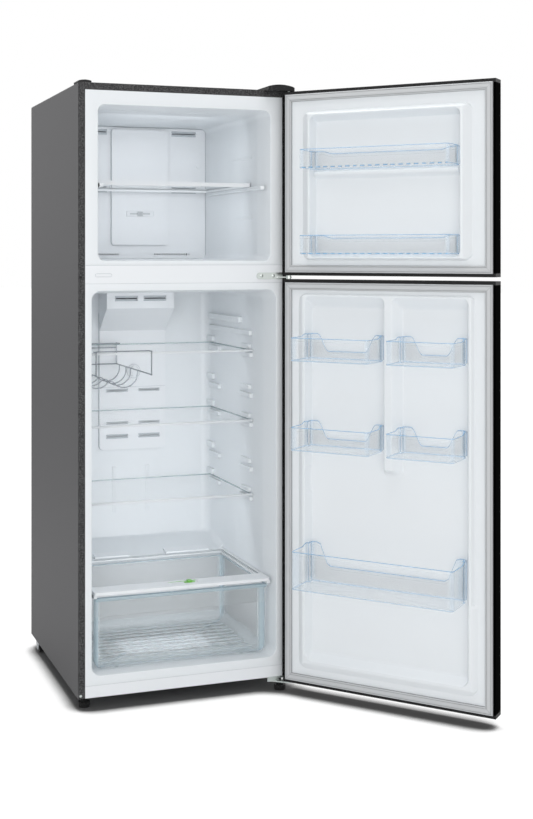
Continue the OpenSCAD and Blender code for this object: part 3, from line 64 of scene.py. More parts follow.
# Height of the freezer shelf, and the spacing of a door liner's points on and between its slopes
SHELF_TOP = 1413
FINE, COARSE = 1.3, 9
# Left, lower, right and upper side of a rectangle, in millimetres
Box = Sequence[float]


def mm(value: float | np.ndarray) -> float | np.ndarray:
    """Turns millimetres into metres.

    Args:
        value: length or points in millimetres.

    Returns:
        The same in metres.
    """
    return value * 0.001


def hex_rgb(code: str) -> tuple[float, float, float, float]:
    """Turns an sRGB colour code into the linear colour the shaders take.

    Args:
        code: six hexadecimal digits after a hash sign.

    Returns:
        Linear red, green and blue, and an alpha of one.
    """
    parts = [int(code[k : k + 2], 16) / 255 for k in (1, 3, 5)]
    linear = [c / 12.92 if c <= 0.04045 else ((c + 0.055) / 1.055) ** 2.4 for c in parts]
    return (linear[0], linear[1], linear[2], 1.0)


class Body(Enum):
    """Moving bodies of the frame that new pieces ride on."""

    CABINET = "cabinet"
    FREEZER_DOOR = "freezer_door"
    FRIDGE_DOOR = "fridge_door"
    DRAWER = "crisper_drawer"


class Edge(Enum):
    """Name of the point attribute that marks the thick, tinted edges of clear plastic, and the gasket's
    grooves and rims that get painted shade.
    """

    ATTRIBUTE = "edge"


# ---- finishes ------------------------------------------------------------------------------


def new_material(name: str, values: dict[str, object]) -> tuple[bpy.types.Material, bpy.types.Node]:
    """Starts a material with plain values on its principled shader.

    Args:
        name: name of the material.
        values: values by input name.

    Returns:
        The material and its shader.
    """
    mat = bpy.data.materials.new(name)
    mat.use_nodes = True
    shader = mat.node_tree.nodes["Principled BSDF"]
    for key, value in values.items():
        shader.inputs[key].default_value = value
    return mat, shader


def add_node(tree: bpy.types.NodeTree, kind: str, values: dict | None = None, links: dict | None = None,
             **settings: object) -> bpy.types.Node:
    """Adds a shader node with its settings, plain values and incoming links.

    Args:
        tree: node tree that takes the node.
        kind: type name of the node.
        values: plain values by input name or number.
        links: output sockets by input name or number.
        **settings: properties of the node itself.

    Returns:
        The new node.
    """
    node = tree.nodes.new(kind)
    for key, value in settings.items():
        setattr(node, key, value)
    for key, value in (values or {}).items():
        node.inputs[key].default_value = value
    for key, socket in (links or {}).items():
        tree.links.new(socket, node.inputs[key])
    return node


def mixed(tree: bpy.types.NodeTree, first: str, second: str,
          weight: bpy.types.NodeSocket) -> bpy.types.NodeSocket:
    """Mixes two colours by a weight.

    Args:
        tree: node tree of the material.
        first: colour code at weight zero.
        second: colour code at weight one.
        weight: socket of the weight.

    Returns:
        Socket of the mixed colour.
    """
    return add_node(tree, "ShaderNodeMix", {6: hex_rgb(first), 7: hex_rgb(second)}, {0: weight},
                    data_type="RGBA").outputs[2]


def noise(tree: bpy.types.NodeTree, size_mm: float, detail: float) -> bpy.types.NodeSocket:
    """Noise of a real size, fixed to the object.

    Args:
        tree: node tree of the material.
        size_mm: size of its cells.
        detail: number of finer layers.

    Returns:
        Socket of the noise.
    """
    place = add_node(tree, "ShaderNodeTexCoord")
    return add_node(tree, "ShaderNodeTexNoise", {"Scale": 1 / mm(size_mm), "Detail": detail},
                    {"Vector": place.outputs["Object"]}).outputs["Fac"]


def colour_ramp(tree: bpy.types.NodeTree, factor: bpy.types.NodeSocket,
                stops: Sequence[tuple[float, str]]) -> bpy.types.NodeSocket:
    """Ramp between two colours.

    Args:
        tree: node tree of the material.
        factor: socket that drives it.
        stops: position and colour code of each end.

    Returns:
        Socket of the colour.
    """
    ramp = add_node(tree, "ShaderNodeValToRGB", {}, {"Fac": factor})
    for element, (position, code) in zip(ramp.color_ramp.elements, stops):
        element.position = position
        element.color = hex_rgb(code)
    return ramp.outputs["Color"]


@dataclass(frozen=True)
class Finish:
    """One material: a real substance and the way its surface was made, with painted shade or light where an
    entry says so.
    """

    name: str
    colour: str
    roughness: float = 0.4
    metallic: float = 0.0
    coat: float = 0.0
    grain_mm: float = 0.0
    grain_depth: float = 0.0
    speckle: str = ""
    subsurface: float = 0.0
    specular: float = 0.5
    ior: float = 1.5
    groove_shade: str = ""
    front: tuple[str, str] | None = None
    facing: tuple[float, float, float] = (0.0, -1.0, 0.0)

    def build(self) -> bpy.types.Material:
        """Makes the material with its grain and speckle, both in real millimetres.

        Returns:
            The finished material.
        """
        mat, shader = new_material(self.name, {
            "Base Color": hex_rgb(self.colour), "Roughness": self.roughness, "Metallic": self.metallic,
            "Coat Weight": self.coat, "Specular IOR Level": self.specular, "IOR": self.ior,
            "Subsurface Weight": self.subsurface, "Subsurface Radius": (mm(3), mm(3), mm(3))})
        tree, base = mat.node_tree, shader.inputs["Base Color"]
        if self.grain_mm:
            grain = noise(tree, self.grain_mm, 4.0)
            bump = add_node(tree, "ShaderNodeBump", {"Strength": 0.35, "Distance": mm(self.grain_depth)},
                            {"Height": grain})
            tree.links.new(bump.outputs["Normal"], shader.inputs["Normal"])
            if self.speckle:
                tree.links.new(colour_ramp(tree, grain, ((0.42, self.colour), (0.66, self.speckle))), base)
        # Faces turned one way get a colour of their own: painted light on the one-sheet graphite shell, a
        # dark front coat on the door skins
        if self.front:
            tree.links.new(self._facing_tone(tree), base)
        # Painted shade: points that the edge attribute marks take the darker groove colour
        if self.groove_shade:
            mark = add_node(tree, "ShaderNodeAttribute", attribute_name=Edge.ATTRIBUTE.value)
            tree.links.new(mixed(tree, self.colour, self.groove_shade, mark.outputs["Fac"]), base)
        return mat

    def _facing_tone(self, tree: bpy.types.NodeTree) -> bpy.types.NodeSocket:
        """Gives faces turned one way, by default to the front, their own colour with a fine speckle. On the
        one-sheet graphite shell the step between front and side colours is painted light; on the door skins
        it is a dark front coat.

        Args:
            tree: node tree of the material.

        Returns:
            Socket of the colour.
        """
        place = add_node(tree, "ShaderNodeTexCoord")
        along = add_node(tree, "ShaderNodeVectorMath", {1: self.facing}, {0: place.outputs["Normal"]},
                         operation="DOT_PRODUCT")
        faced = add_node(tree, "ShaderNodeMath", {1: 0.7}, {0: along.outputs["Value"]},
                         operation="GREATER_THAN")
        coat = colour_ramp(tree, noise(tree, 2.4, 2.0), ((0.46, self.front[0]), (0.64, self.front[1])))
        both = add_node(tree, "ShaderNodeMix", {6: hex_rgb(self.colour)}, {0: faced.outputs[0], 7: coat},
                        data_type="RGBA")
        return both.outputs[2]


@dataclass(frozen=True)
class ClearFinish:
    """Clear sheet material: thin faces let light through, edges gather the tint."""

    name: str
    face: str
    edge: str
    face_alpha: float
    edge_alpha: float
    roughness: float = 0.06
    by_normal: bool = False

    def build(self) -> bpy.types.Material:
        """Makes the material, mixing face and edge by the piece's edge attribute or by its edge faces.

        Returns:
            The finished material.
        """
        mat, shader = new_material(self.name, {"Roughness": self.roughness, "IOR": 1.5})
        tree = mat.node_tree
        if self.by_normal:
            # A pane's edge faces are the upright ones: one minus the height of the unit normal.
            place = add_node(tree, "ShaderNodeTexCoord")
            split = add_node(tree, "ShaderNodeSeparateXYZ", {}, {"Vector": place.outputs["Normal"]})
            flat = add_node(tree, "ShaderNodeMath", {}, {0: split.outputs["Z"]}, operation="ABSOLUTE")
            edge = add_node(tree, "ShaderNodeMath", {0: 1.0}, {1: flat.outputs[0]}, operation="SUBTRACT")
            weight = edge.outputs[0]
        else:
            mark = add_node(tree, "ShaderNodeAttribute", attribute_name=Edge.ATTRIBUTE.value)
            weight = mark.outputs["Fac"]
        tint = mixed(tree, self.face, self.edge, weight)
        alpha = add_node(tree, "ShaderNodeMapRange", {3: self.face_alpha, 4: self.edge_alpha}, {0: weight})
        tree.links.new(tint, shader.inputs["Base Color"])
        tree.links.new(alpha.outputs[0], shader.inputs["Alpha"])
        return mat


# Slot of the record -> finish. Colours are what the real material shows in white light, apart from the
# painted shade and light noted at their entries.
FINISHES: dict[str, Finish | ClearFinish] = {
    # Pre-coated sheet steel with a fine orange-peel texture. Front faces and sides are one sheet: the sides'
    # lighter grey is painted light, standing for the grey surroundings they reflect
    "graphite": Finish("precoated_steel_graphite", "#4d4d4f", 0.5, grain_mm=1.6, grain_depth=0.02,
                       specular=0.3, front=("#1b1b1c", "#5a5a5b")),
    # Same coating in black on the folded door skins
    "black_skin": Finish("precoated_steel_black", "#030303", 0.7, specular=0.05, ior=1.1, grain_mm=1.6,
                         grain_depth=0.01, front=("#1d1d1f", "#2c2c2e"), facing=(0.749, 0.663, 0.0)),
    "black_plastic": Finish("moulded_polypropylene_black", "#0d0d0e", 0.45, specular=0.3,
                            grain_mm=0.9, grain_depth=0.01),
    # Injection moulded polystyrene, satin from the tool
    "white_plastic": Finish("moulded_polystyrene_white", "#e9ecef", 0.3, subsurface=0.05),
    # Vacuum formed sheet; the real sheet is slightly glossier where it was stretched, while one roughness
    # serves all of it here
    "liner": Finish("thermoformed_hips_white", "#e6eaed", 0.34, grain_mm=9.0, grain_depth=0.05),
    # Hot dip galvanised sheet with a soft spangle
    "galvanised": Finish("galvanised_sheet", "#b4b8bb", 0.38, 0.9, grain_mm=14.0, grain_depth=0.03,
                         speckle="#bdc1c4"),
    "hinge_steel": Finish("zinc_plated_pressing", "#c9cfcc", 0.28, 1.0),
    "wire_chrome": Finish("chromed_wire", "#8d9297", 0.16, 1.0),
    "foam": Finish("polyurethane_foam", "#dccb98", 0.85),
    "compressor_black": Finish("enamelled_steel_black", "#161618", 0.3, coat=0.4),
    "rubber": Finish("moulded_rubber_black", "#1a1a1b", 0.7),
    # Extruded soft PVC with a magnet inside
    "gasket": Finish("extruded_pvc_grey", "#c6c8ca", 0.5, groove_shade="#989a9c"),
    "copper": Finish("drawn_copper_tube", "#b87448", 0.25, 1.0),
    "coil": Finish("mill_finish_aluminium", "#c9cccf", 0.35, 1.0),
    "grey_plastic": Finish("moulded_abs_grey", "#c4c8cb", 0.4),
    # Tempered float glass: faces nearly clear, ground edges green-grey
    "shelf_glass": ClearFinish("tempered_glass", "#e6f0f4", "#8fa3a6", 0.06, 0.65, by_normal=True),
    # Injection moulded clear styrene with a light blue tint that gathers in edges
    "clear_blue": ClearFinish("moulded_clear_blue_styrene", "#eef6fb", "#6fa6cf", 0.022, 0.75),
    "drawer_clear": ClearFinish("moulded_clear_styrene", "#eef4f6", "#a3bfcc", 0.05, 0.75, 0.1),
    # Painted shade: the tub's own white darkened to grey for vent floors, seams, joints and fine outlines,
    # where little light comes
    "painted_shade_grey": Finish("white_polystyrene_painted_shade", "#bcc2c7", 0.5),
    "slider_green": Finish("moulded_abs_green", "#79c64f", 0.35),
}


@lru_cache(maxsize=None)
def material(slot: str) -> bpy.types.Material:
    """Returns the finish of a slot, making it at first use.

    Args:
        slot: material slot of the record.

    Returns:
        The material.
    """
    return FINISHES[slot].build()


def dress_frame() -> None:
    """Puts the finishes on the slots of all CAD nodes."""
    slots = {part["node"]: part["material_slot"] for part in frame["record"]["subparts"]}
    for name, node in frame["nodes"].items():
        for index in range(len(node.data.materials)):
            node.data.materials[index] = material(slots[name])
        node.visible_shadow = not isinstance(FINISHES[slots[name]], ClearFinish)
    LOG.info("dressed %d CAD nodes", len(slots))


# ---- surfaces ------------------------------------------------------------------------------


def in_cabinet(points: np.ndarray) -> np.ndarray:
    """Moves points given from the cabinet's front plane, in millimetres, into the frame.

    Args:
        points: array of x, depth behind the front plane, and height.

    Returns:
        The same points in metres.
    """
    return points * 0.001 + np.array([0.0, FRONT, 0.0])


@dataclass(frozen=True)
class Hinge:
    """Hinge line of both doors and their opening angle at rest."""

    x: float = 290.5
    y: float = -24.5
    angle: float = 131.5

    def open(self, points: np.ndarray) -> np.ndarray:
        """Turns points of the shut door about the hinge line, then moves them into the frame.

        Args:
            points: array of points in millimetres, shaped with the door shut.

        Returns:
            The points in metres, with the door open.
        """
        turn = np.radians(self.angle)
        dx, dy = points[:, 0] - self.x, points[:, 1] - self.y
        turned = np.stack([self.x + np.cos(turn) * dx - np.sin(turn) * dy,
                           self.y + np.sin(turn) * dx + np.cos(turn) * dy, points[:, 2]], axis=1)
        return in_cabinet(turned)


HINGE = Hinge()


@dataclass
class Surface:
    """Grid surface under construction: patches of points with an optional edge weight each."""

    name: str
    points: list[np.ndarray] = field(default_factory=list)
    faces: list[np.ndarray] = field(default_factory=list)
    weights: list[np.ndarray] = field(default_factory=list)
    count: int = 0

    def add_grid(self, grid: np.ndarray, flip: bool = False, weight: np.ndarray | float = 0.0,
                 wrap: bool = True) -> None:
        """Adds a patch whose points run along rows and columns.

        Args:
            grid: array of rows by columns by three.
            flip: turns the faces over.
            weight: edge weight of each point, rows by columns, or one for all.
            wrap: joins the last column to the first.
        """
        rows, cols = grid.shape[:2]
        number = np.arange(rows * cols).reshape(rows, cols) + self.count
        right = np.roll(number, -1, axis=1) if wrap else number[:, 1:]
        left = number if wrap else number[:, :-1]
        quads = np.stack([left[:-1], right[:-1], right[1:], left[1:]], axis=-1).reshape(-1, 4)
        self.faces.append(quads[:, ::-1] if flip else quads)
        self.points.append(grid.reshape(-1, 3))
        self.weights.append(np.broadcast_to(weight, (rows, cols)).reshape(-1))
        self.count += rows * cols

    def finish(self, body: Body | str, slot: str, place: Callable[[np.ndarray], np.ndarray] = in_cabinet,
               replaces: Sequence[str] = ()) -> None:
        """Turns the patches into one smooth object riding on a body.

        Args:
            body: body of the frame it moves with.
            slot: material slot it takes its finish from.
            place: function that moves points from the piece's own space, in millimetres, to the frame.
            replaces: CAD nodes it stands for.
        """
        points = place(np.concatenate(self.points))
        faces = np.concatenate(self.faces)
        mesh = bpy.data.meshes.new(self.name)
        mesh.vertices.add(len(points))
        mesh.vertices.foreach_set("co", points.astype(np.float32).ravel())
        mesh.loops.add(faces.size)
        mesh.loops.foreach_set("vertex_index", faces.astype(np.int32).ravel())
        mesh.polygons.add(len(faces))
        mesh.polygons.foreach_set("loop_start", np.arange(0, faces.size, 4, dtype=np.int32))
        mesh.polygons.foreach_set("use_smooth", np.ones(len(faces), dtype=bool))
        mark = mesh.attributes.new(Edge.ATTRIBUTE.value, "FLOAT", "POINT")
        mark.data.foreach_set("value", np.concatenate(self.weights).astype(np.float32))
        mesh.update(calc_edges=True)
        mesh.validate()
        mesh.materials.append(material(slot))
        made = bpy.data.objects.new(self.name, mesh)
        bpy.context.scene.collection.objects.link(made)
        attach(made, body.value if isinstance(body, Body) else body)
        # Clear plastic and glass let almost all light past, so they darken nothing behind them
        made.visible_shadow = not isinstance(FINISHES[slot], ClearFinish)
        if replaces:
            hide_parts(*replaces)
        LOG.info("%s: %d faces", self.name, len(faces))


def rounded_loop(box: Box, radius: float, steps: int = 10, side: int = 2) -> np.ndarray:
    """Rounded rectangle as a closed ring: four quarter circles joined by straight sides.

    Args:
        box: its sides.
        radius: corner radius.
        steps: spans in each quarter circle.
        side: extra points on each straight side.

    Returns:
        Array of ring points by two, anticlockwise from the right end of the lower right corner.
    """
    x0, z0, x1, z1 = box
    radius = max(min(radius, (x1 - x0) / 2 - 0.01, (z1 - z0) / 2 - 0.01), 0.01)
    centres = [(x1 - radius, z0 + radius, -90), (x1 - radius, z1 - radius, 0),
               (x0 + radius, z1 - radius, 90), (x0 + radius, z0 + radius, 180)]
    arcs = []
    for cx, cz, start in centres:
        angle = np.radians(start + np.linspace(0, 90, steps + 1))
        arcs.append(np.stack([cx + radius * np.cos(angle), cz + radius * np.sin(angle)], axis=1))
    ring = []
    for k, arc in enumerate(arcs):
        ring.append(arc)
        share = np.linspace(0, 1, side + 2)[1:-1, None]
        ring.append(arc[-1] * (1 - share) + arcs[(k + 1) % 4][0] * share)
    return np.concatenate(ring)


def soften(path: np.ndarray, reach: Sequence[float], steps: int = 6) -> np.ndarray:
    """Rounds the corners of a path in any number of dimensions.

    Each corner is replaced by the parabola that touches both legs at the given distance from it.

    Args:
        path: corner points, one row each.
        reach: distance of each corner's rounding from the corner, zero for a sharp one.
        steps: spans in each rounding.

    Returns:
        The rounded path.
    """
    out = [path[:1]]
    for k in range(1, len(path) - 1):
        if reach[k] <= 0:
            out.append(path[k : k + 1])
            continue
        before, after = path[k - 1] - path[k], path[k + 1] - path[k]
        a = path[k] + before * min(reach[k] / max(np.linalg.norm(before), 1e-9), 0.5)
        b = path[k] + after * min(reach[k] / max(np.linalg.norm(after), 1e-9), 0.5)
        t = np.linspace(0, 1, steps + 1)[:, None]
        out.append(a * (1 - t) ** 2 + path[k] * 2 * t * (1 - t) + b * t**2)
    out.append(path[-1:])
    return np.concatenate(out)


def tub(path: np.ndarray, steps: int = 10, side: int = 2) -> np.ndarray:
    """Sweeps a rounded rectangle along a path that gives its four sides, radius and depth.

    Args:
        path: rows of left, lower, right, upper, corner radius and depth.
        steps: spans in each corner.
        side: extra points on each straight side.

    Returns:
        Grid of rings, one per row of the path.
    """
    return np.stack([np.insert(rounded_loop(box, radius, steps, side), 1, depth, axis=1)
                     for *box, radius, depth in path])


def boss(box: Box, radius: float, base: float, top: float, fillet: float = 1.5) -> np.ndarray:
    """Raised block with a rounded outline and a rounded upper edge.

    Args:
        box: sides of its outline.
        radius: corner radius of its outline.
        base: depth where it starts.
        top: depth of its flat top.
        fillet: radius of the upper edge.

    Returns:
        Grid of rings from the base to the middle of the top.
    """
    x0, z0, x1, z1 = box
    sign = 1.0 if top > base else -1.0
    angle = np.radians(np.linspace(0, 90, 6))
    rows = [[x0, z0, x1, z1, radius, base]]
    rows += [[x0 + a, z0 + a, x1 - a, z1 - a, max(radius - a, 0.3), top - sign * (fillet - b)]
             for a, b in zip(fillet * (1 - np.cos(angle)), fillet * np.sin(angle))]
    half = min(x1 - x0, z1 - z0) / 2 * 0.98
    rows.append([x0 + half, z0 + half, x1 - half, z1 - half, 0.02, top])
    return tub(np.array(rows), 6, 0)


def rim(box: Box, radius: float, depth: float, width: float) -> np.ndarray:
    """Thin flat rim of a rounded outline, a hair proud of the face behind it.

    Args:
        box: sides of its outline.
        radius: corner radius of its outline.
        depth: depth of its front.
        width: width of the rim.

    Returns:
        Grid of rings from its outer foot to its inner foot.
    """
    x0, z0, x1, z1 = box
    rows = [[x0 + a, z0 + a, x1 - a, z1 - a, max(radius - a, 0.5), y]
            for a, y in ((0, depth + 0.3), (0, depth), (width, depth), (width, depth + 0.3))]
    return tub(np.array(rows), 8, 1)


def wall_boss(side: int, box: Box, radius: float, wall: float, out: float) -> np.ndarray:
    """Boss standing on a side wall, towards the middle of the compartment.

    Args:
        side: minus one for the left wall, one for the right.
        box: its front, lower edge, rear and upper edge.
        radius: corner radius of its outline.
        wall: distance of the wall from the middle.
        out: how far it stands out.

    Returns:
        Grid of rings in cabinet space.
    """
    grid = boss(box, radius, -wall - 0.5, -wall + out, min(2.0, out * 0.6))
    return np.stack([-side * grid[..., 1], grid[..., 0], grid[..., 2]], axis=-1)


def bend_weight(ring: np.ndarray) -> np.ndarray:
    """Marks where the plan turns a corner, since the plastic is seen edge on there.

    Args:
        ring: outer ring of the plan.

    Returns:
        One at tight bends, zero on straight sides.
    """
    step = np.roll(ring, -1, axis=0) - ring
    heading = np.unwrap(np.arctan2(step[:, 1], step[:, 0]))
    turn = np.abs(np.diff(heading, append=heading[:1] + np.sign(heading[-1] - heading[0]) * 2 * np.pi))
    turn = np.where(turn > np.pi, 0, turn)
    near = np.maximum.reduce([np.roll(turn, k) for k in (-1, 0, 1)])
    return np.clip(near / 0.2, 0, 1)


# ---- compartments --------------------------------------------------------------------------


@dataclass(frozen=True)
class Mouth:
    """Outline of a compartment's mouth and of the flat face round it, in millimetres."""

    half: float
    low: float
    top: float
    radius: float
    face_half: float
    face_low: float
    face_top: float


def rear_bend(row: np.ndarray, bend: float, inset: float, steps: int = 10) -> np.ndarray:
    """Rounded upright edges between a tub's side walls and its back, then the back itself.

    Args:
        row: last ring of the walls, as a path row.
        bend: radius of the upright edges.
        inset: how far the upper and lower edges draw in over the same bend.
        steps: spans of the rounding.

    Returns:
        Path rows from just behind the given one to the middle of the back.
    """
    x0, z0, x1, z1, radius, depth = row
    angle = np.radians(np.linspace(0, 90, steps + 1))[1:]
    side, end, deep = bend * (1 - np.cos(angle)), inset * (1 - np.cos(angle)), bend * np.sin(angle)
    rows = np.stack([x0 + side, z0 + end, x1 - side, z1 - end, np.full(steps, radius), depth + deep],
                    axis=1)
    middle = [-0.02, (z0 + z1) / 2 - 0.02, 0.02, (z0 + z1) / 2 + 0.02, 0.01, depth + bend]
    return np.concatenate([rows, [middle]])


@dataclass
class CompartmentLiner:
    """White thermoformed tub of one compartment, flared at its mouth."""

    name: str
    mouth: Mouth

    def face_rows(self) -> list[list[float]]:
        """Flat face from its outer edge to the mouth.

        Returns:
            Path rows for the tub.
        """
        m = self.mouth
        return [[-m.face_half, m.face_low, m.face_half, m.face_top, 0.5, 3.0],
                [-m.face_half, m.face_low, m.face_half, m.face_top, 0.5, 0.0],
                [-m.half, m.low, m.half, m.top, m.radius, 0.0]]

    def build_freezer(self) -> None:
        """Freezer tub: flared mouth, long straight walls, rounded rear edges, pressed wall ribs."""
        m = self.mouth
        rows = self.face_rows()
        rows.append([-m.half + 11, m.low + 3, m.half - 11, m.top - 6, 18, 75])
        rows.append([-m.half + 15, m.low + 3, m.half - 15, m.top - 6, 18, 549.5])
        path = soften(np.array(rows, float), [0, 0.6, 3, 4, 0])
        path = np.concatenate([path, rear_bend(path[-1], 10, 8)])
        piece = Surface(self.name)
        piece.add_grid(tub(path, 12), True)
        for side in (-1, 1):
            for z in (1317, 1488):
                piece.add_grid(wall_boss(side, (114, z - 5, 470, z + 5), 5, 235.2, 2.0), side < 0)
            piece.add_grid(wall_boss(side, (22, 1391, 480, 1402), 4, 235.8, 11.0), side < 0)
        piece.finish(Body.CABINET, "liner", replaces=["freezer_liner"])

    def build_fridge(self) -> None:
        """Fresh food tub: flared mouth, step over the compressor bay and moulded shelf supports."""
        m = self.mouth
        rows = self.face_rows()
        rows.append([-m.half + 11, m.low, m.half - 11, m.top - 8, 24, 75])
        rows.append([-252, m.low, 252, m.top - 8, 24, 405])
        rows.append([-252, 308, 252, m.top - 8, 20, 405.01])
        rows.append([-252, 330, 252, m.top - 8, 20, 513])
        path = soften(np.array(rows, float), [0, 0.6, 3, 6, 16, 5, 0])
        path = np.concatenate([path, rear_bend(path[-1], 30, 9)])
        piece = Surface(self.name)
        piece.add_grid(tub(path, 12, 6), True)
        for side in (-1, 1):
            for *box, out in self.supports():
                piece.add_grid(wall_boss(side, box, 3.5, 252.0, out), side < 0)
        for x in (-57.5, 49):
            piece.add_grid(boss((x - 6.5, 410, x + 6.5, 555), 6.4, 543, 541.4, 1.2), True)
        piece.finish(Body.CABINET, "liner", replaces=["fridge_liner"])

    @staticmethod
    def supports() -> list[tuple[float, float, float, float, float]]:
        """Shelf supports moulded on each side wall.

        Returns:
            Tuples of front, lower, rear, upper and how far each stands out.
        """
        blocks = []
        for z in (935, 817, 733, 603, 519):
            blocks += [(152, z - 22, 246, z - 8.2, 10), (165, z + 2, 236, z + 15, 9),
                       (425, z - 22, 517, z - 8.2, 10), (484, z + 2, 541, z + 20, 9)]
        blocks += [(242, 1008, 516, 1026, 11), (160, 975, 516, 990, 9), (20, 291, 401, 299.8, 9)]
        return blocks


# ---- door liners ---------------------------------------------------------------------------


@dataclass(frozen=True)
class Ramp:
    """Rounded rectangle with a sloping border: the slope runs inwards from its outline."""

    x0: float
    z0: float
    x1: float
    z1: float
    radius: float
    left: float
    low: float
    right: float
    top: float

    def level(self, x: np.ndarray, z: np.ndarray, ease: float) -> np.ndarray:
        """Height of the ramp: zero outside the outline, one past the slope, eased at both ends.

        Each side gives the distance from it divided by its slope's width. The rounded outline gives
        a steep fifth slope. The level is their smooth minimum, minus log of the sum of exp(-k v) over k,
        so that the slopes meet in soft mitres.

        Args:
            x: positions across.
            z: heights.
            ease: share of the slope that is rounded at each end.

        Returns:
            Level at each position.
        """
        cx, cz = (self.x0 + self.x1) / 2, (self.z0 + self.z1) / 2
        hx, hz = (self.x1 - self.x0) / 2 - self.radius, (self.z1 - self.z0) / 2 - self.radius
        dx, dz = np.abs(x - cx) - hx, np.abs(z - cz) - hz
        steep, sharp = 3.5, 14.0
        beyond = np.hypot(np.maximum(dx, 0), np.maximum(dz, 0))
        away = beyond + np.minimum(np.maximum(dx, dz), 0) - self.radius
        sides = [(x - self.x0) / self.left, (self.x1 - x) / self.right, (z - self.z0) / self.low,
                 (self.z1 - z) / self.top, -away / steep]
        total = sum(np.exp(-sharp * np.clip(side, -1.5, 1.4)) for side in sides)
        return eased(-np.log(total) / sharp, ease)


def eased(t: np.ndarray, ease: float) -> np.ndarray:
    """Clamps to the range from zero to one with a parabola of the given reach at both corners.

    Args:
        t: values to clamp.
        ease: half width of each rounding.

    Returns:
        The clamped values.
    """
    low = np.where(t < -ease, 0, np.where(t > ease, t, (t + ease) ** 2 / (4 * ease)))
    back = 1 - low
    return 1 - np.where(back < -ease, 0, np.where(back > ease, back, (back + ease) ** 2 / (4 * ease)))


def spaced(low: float, high: float, bands: Sequence[tuple[float, float]]) -> np.ndarray:
    """Positions that stand close together inside the given bands and wide apart elsewhere.

    Args:
        low: first position.
        high: last position.
        bands: pairs of band ends.

    Returns:
        Sorted positions.
    """
    parts = [np.arange(low, high, COARSE), [high]]
    parts += [np.arange(a, b, FINE) for a, b in bands]
    every = np.unique(np.clip(np.concatenate(parts), low, high))
    keep = np.concatenate([[True], np.diff(every) > FINE * 0.45])
    keep[-1] = True
    return every[keep]


@dataclass
class DoorLiner:
    """Thermoformed door liner: a raised dike round one or more pockets, as a height over the door."""

    name: str
    door: Body
    half: float
    low: float
    top: float
    border: float = -9.0
    lap: float = -12.0
    pocket_ease: float = 0.12
    dike_ease: float = 0.16

    def grid(self, x_bands: Sequence[tuple[float, float]],
             z_bands: Sequence[tuple[float, float]]) -> list[np.ndarray]:
        """Points over the door, close together in the given bands.

        Args:
            x_bands: bands across.
            z_bands: bands up the door.

        Returns:
            Positions across, and heights.
        """
        return np.meshgrid(spaced(-self.half, self.half, x_bands), spaced(self.low, self.top, z_bands))

    def depth(self, x: np.ndarray, z: np.ndarray, dike: Ramp, crest: float, pockets: Sequence[Ramp],
              floor: float) -> np.ndarray:
        """Depth of the sheet: border, plus dike, minus pockets.

        Args:
            x: positions across.
            z: heights.
            dike: ramp of the raised dike.
            crest: depth of the dike's top.
            pockets: ramps of the pockets, merged where they meet.
            floor: depth of the pockets' floor.

        Returns:
            Depth at each position.
        """
        shut = np.ones_like(x)
        for pocket in pockets:
            shut *= 1 - pocket.level(x, z, self.pocket_ease)
        height = self.border + (crest - self.border) * dike.level(x, z, self.dike_ease)
        return height - (crest - floor) * (1 - shut)

    def finish(self, x: np.ndarray, z: np.ndarray, depth: np.ndarray) -> None:
        """Makes the sheet and the strip behind its lower edge, in place of the door's CAD liner.

        Args:
            x: positions across.
            z: heights.
            depth: depth at each position.
        """
        piece = Surface(self.name)
        piece.add_grid(np.stack([x, depth, z], axis=-1), True, wrap=False)
        strip = [[[-self.half, y, self.low], [self.half, y, self.low]] for y in (self.lap, self.border)]
        piece.add_grid(np.array(strip), wrap=False)
        piece.finish(self.door, "liner", HINGE.open, [f"{self.door.value}_liner"])


def freezer_door_liner() -> None:
    """One pocket with a ledge across it under the upper bin."""
    liner = DoorLiner("freezer_door_pocket", Body.FREEZER_DOOR, 291, 1162, 1649)
    x, z = liner.grid([(-246, -188), (188, 246)], [(1190, 1228), (1408, 1446), (1562, 1608)])
    depth = liner.depth(x, z, Ramp(-239, 1195, 239, 1601, 24, 22, 5, 22, 9), 12,
                        [Ramp(-212, 1203, 212, 1588, 18, 9, 7, 9, 15)], -18)
    band = eased((z - 1416) / 9, 0.3) * eased((1440 - z) / 5, 0.3)
    liner.finish(x, z, np.maximum(depth, -18 + 17 * band * eased((208 - np.abs(x)) / 6, 0.3)))


def fridge_door_liner() -> None:
    """Two upper pockets beside a middle rib, opening into one wide pocket below."""
    liner = DoorLiner("fridge_door_pocket", Body.FRIDGE_DOOR, 291, 41, 1132.5)
    x, z = liner.grid([(-257, -204), (-50, 12), (204, 257)],
                      [(76, 132), (304, 318), (556, 580), (630, 656), (1060, 1108)])
    hinge_side = Ramp(-1, 560, 230.5, 1097, 20, 9, 5, 12, 30)
    free_side = Ramp(-230.5, 560, -21, 1097, 20, 9, 5, 24, 30)
    wide = Ramp(-230.5, 103, 230.5, 640, 22, 9, 20, 12, 14)
    depth = liner.depth(x, z, Ramp(-252, 79, 252, 1104, 28, 14, 16, 14, 4), 1, [hinge_side, free_side, wide],
                        -24)
    # The free side's outer slope is steeper above a small step
    slope = -9 + 10 * eased((x + 244) / 7, 0.25)
    above = eased((z - 308) / 6, 0.3)
    stepped = depth * (1 - above) + np.minimum(slope, depth) * above
    liner.finish(x, z, np.where(x < -233, stepped, depth))


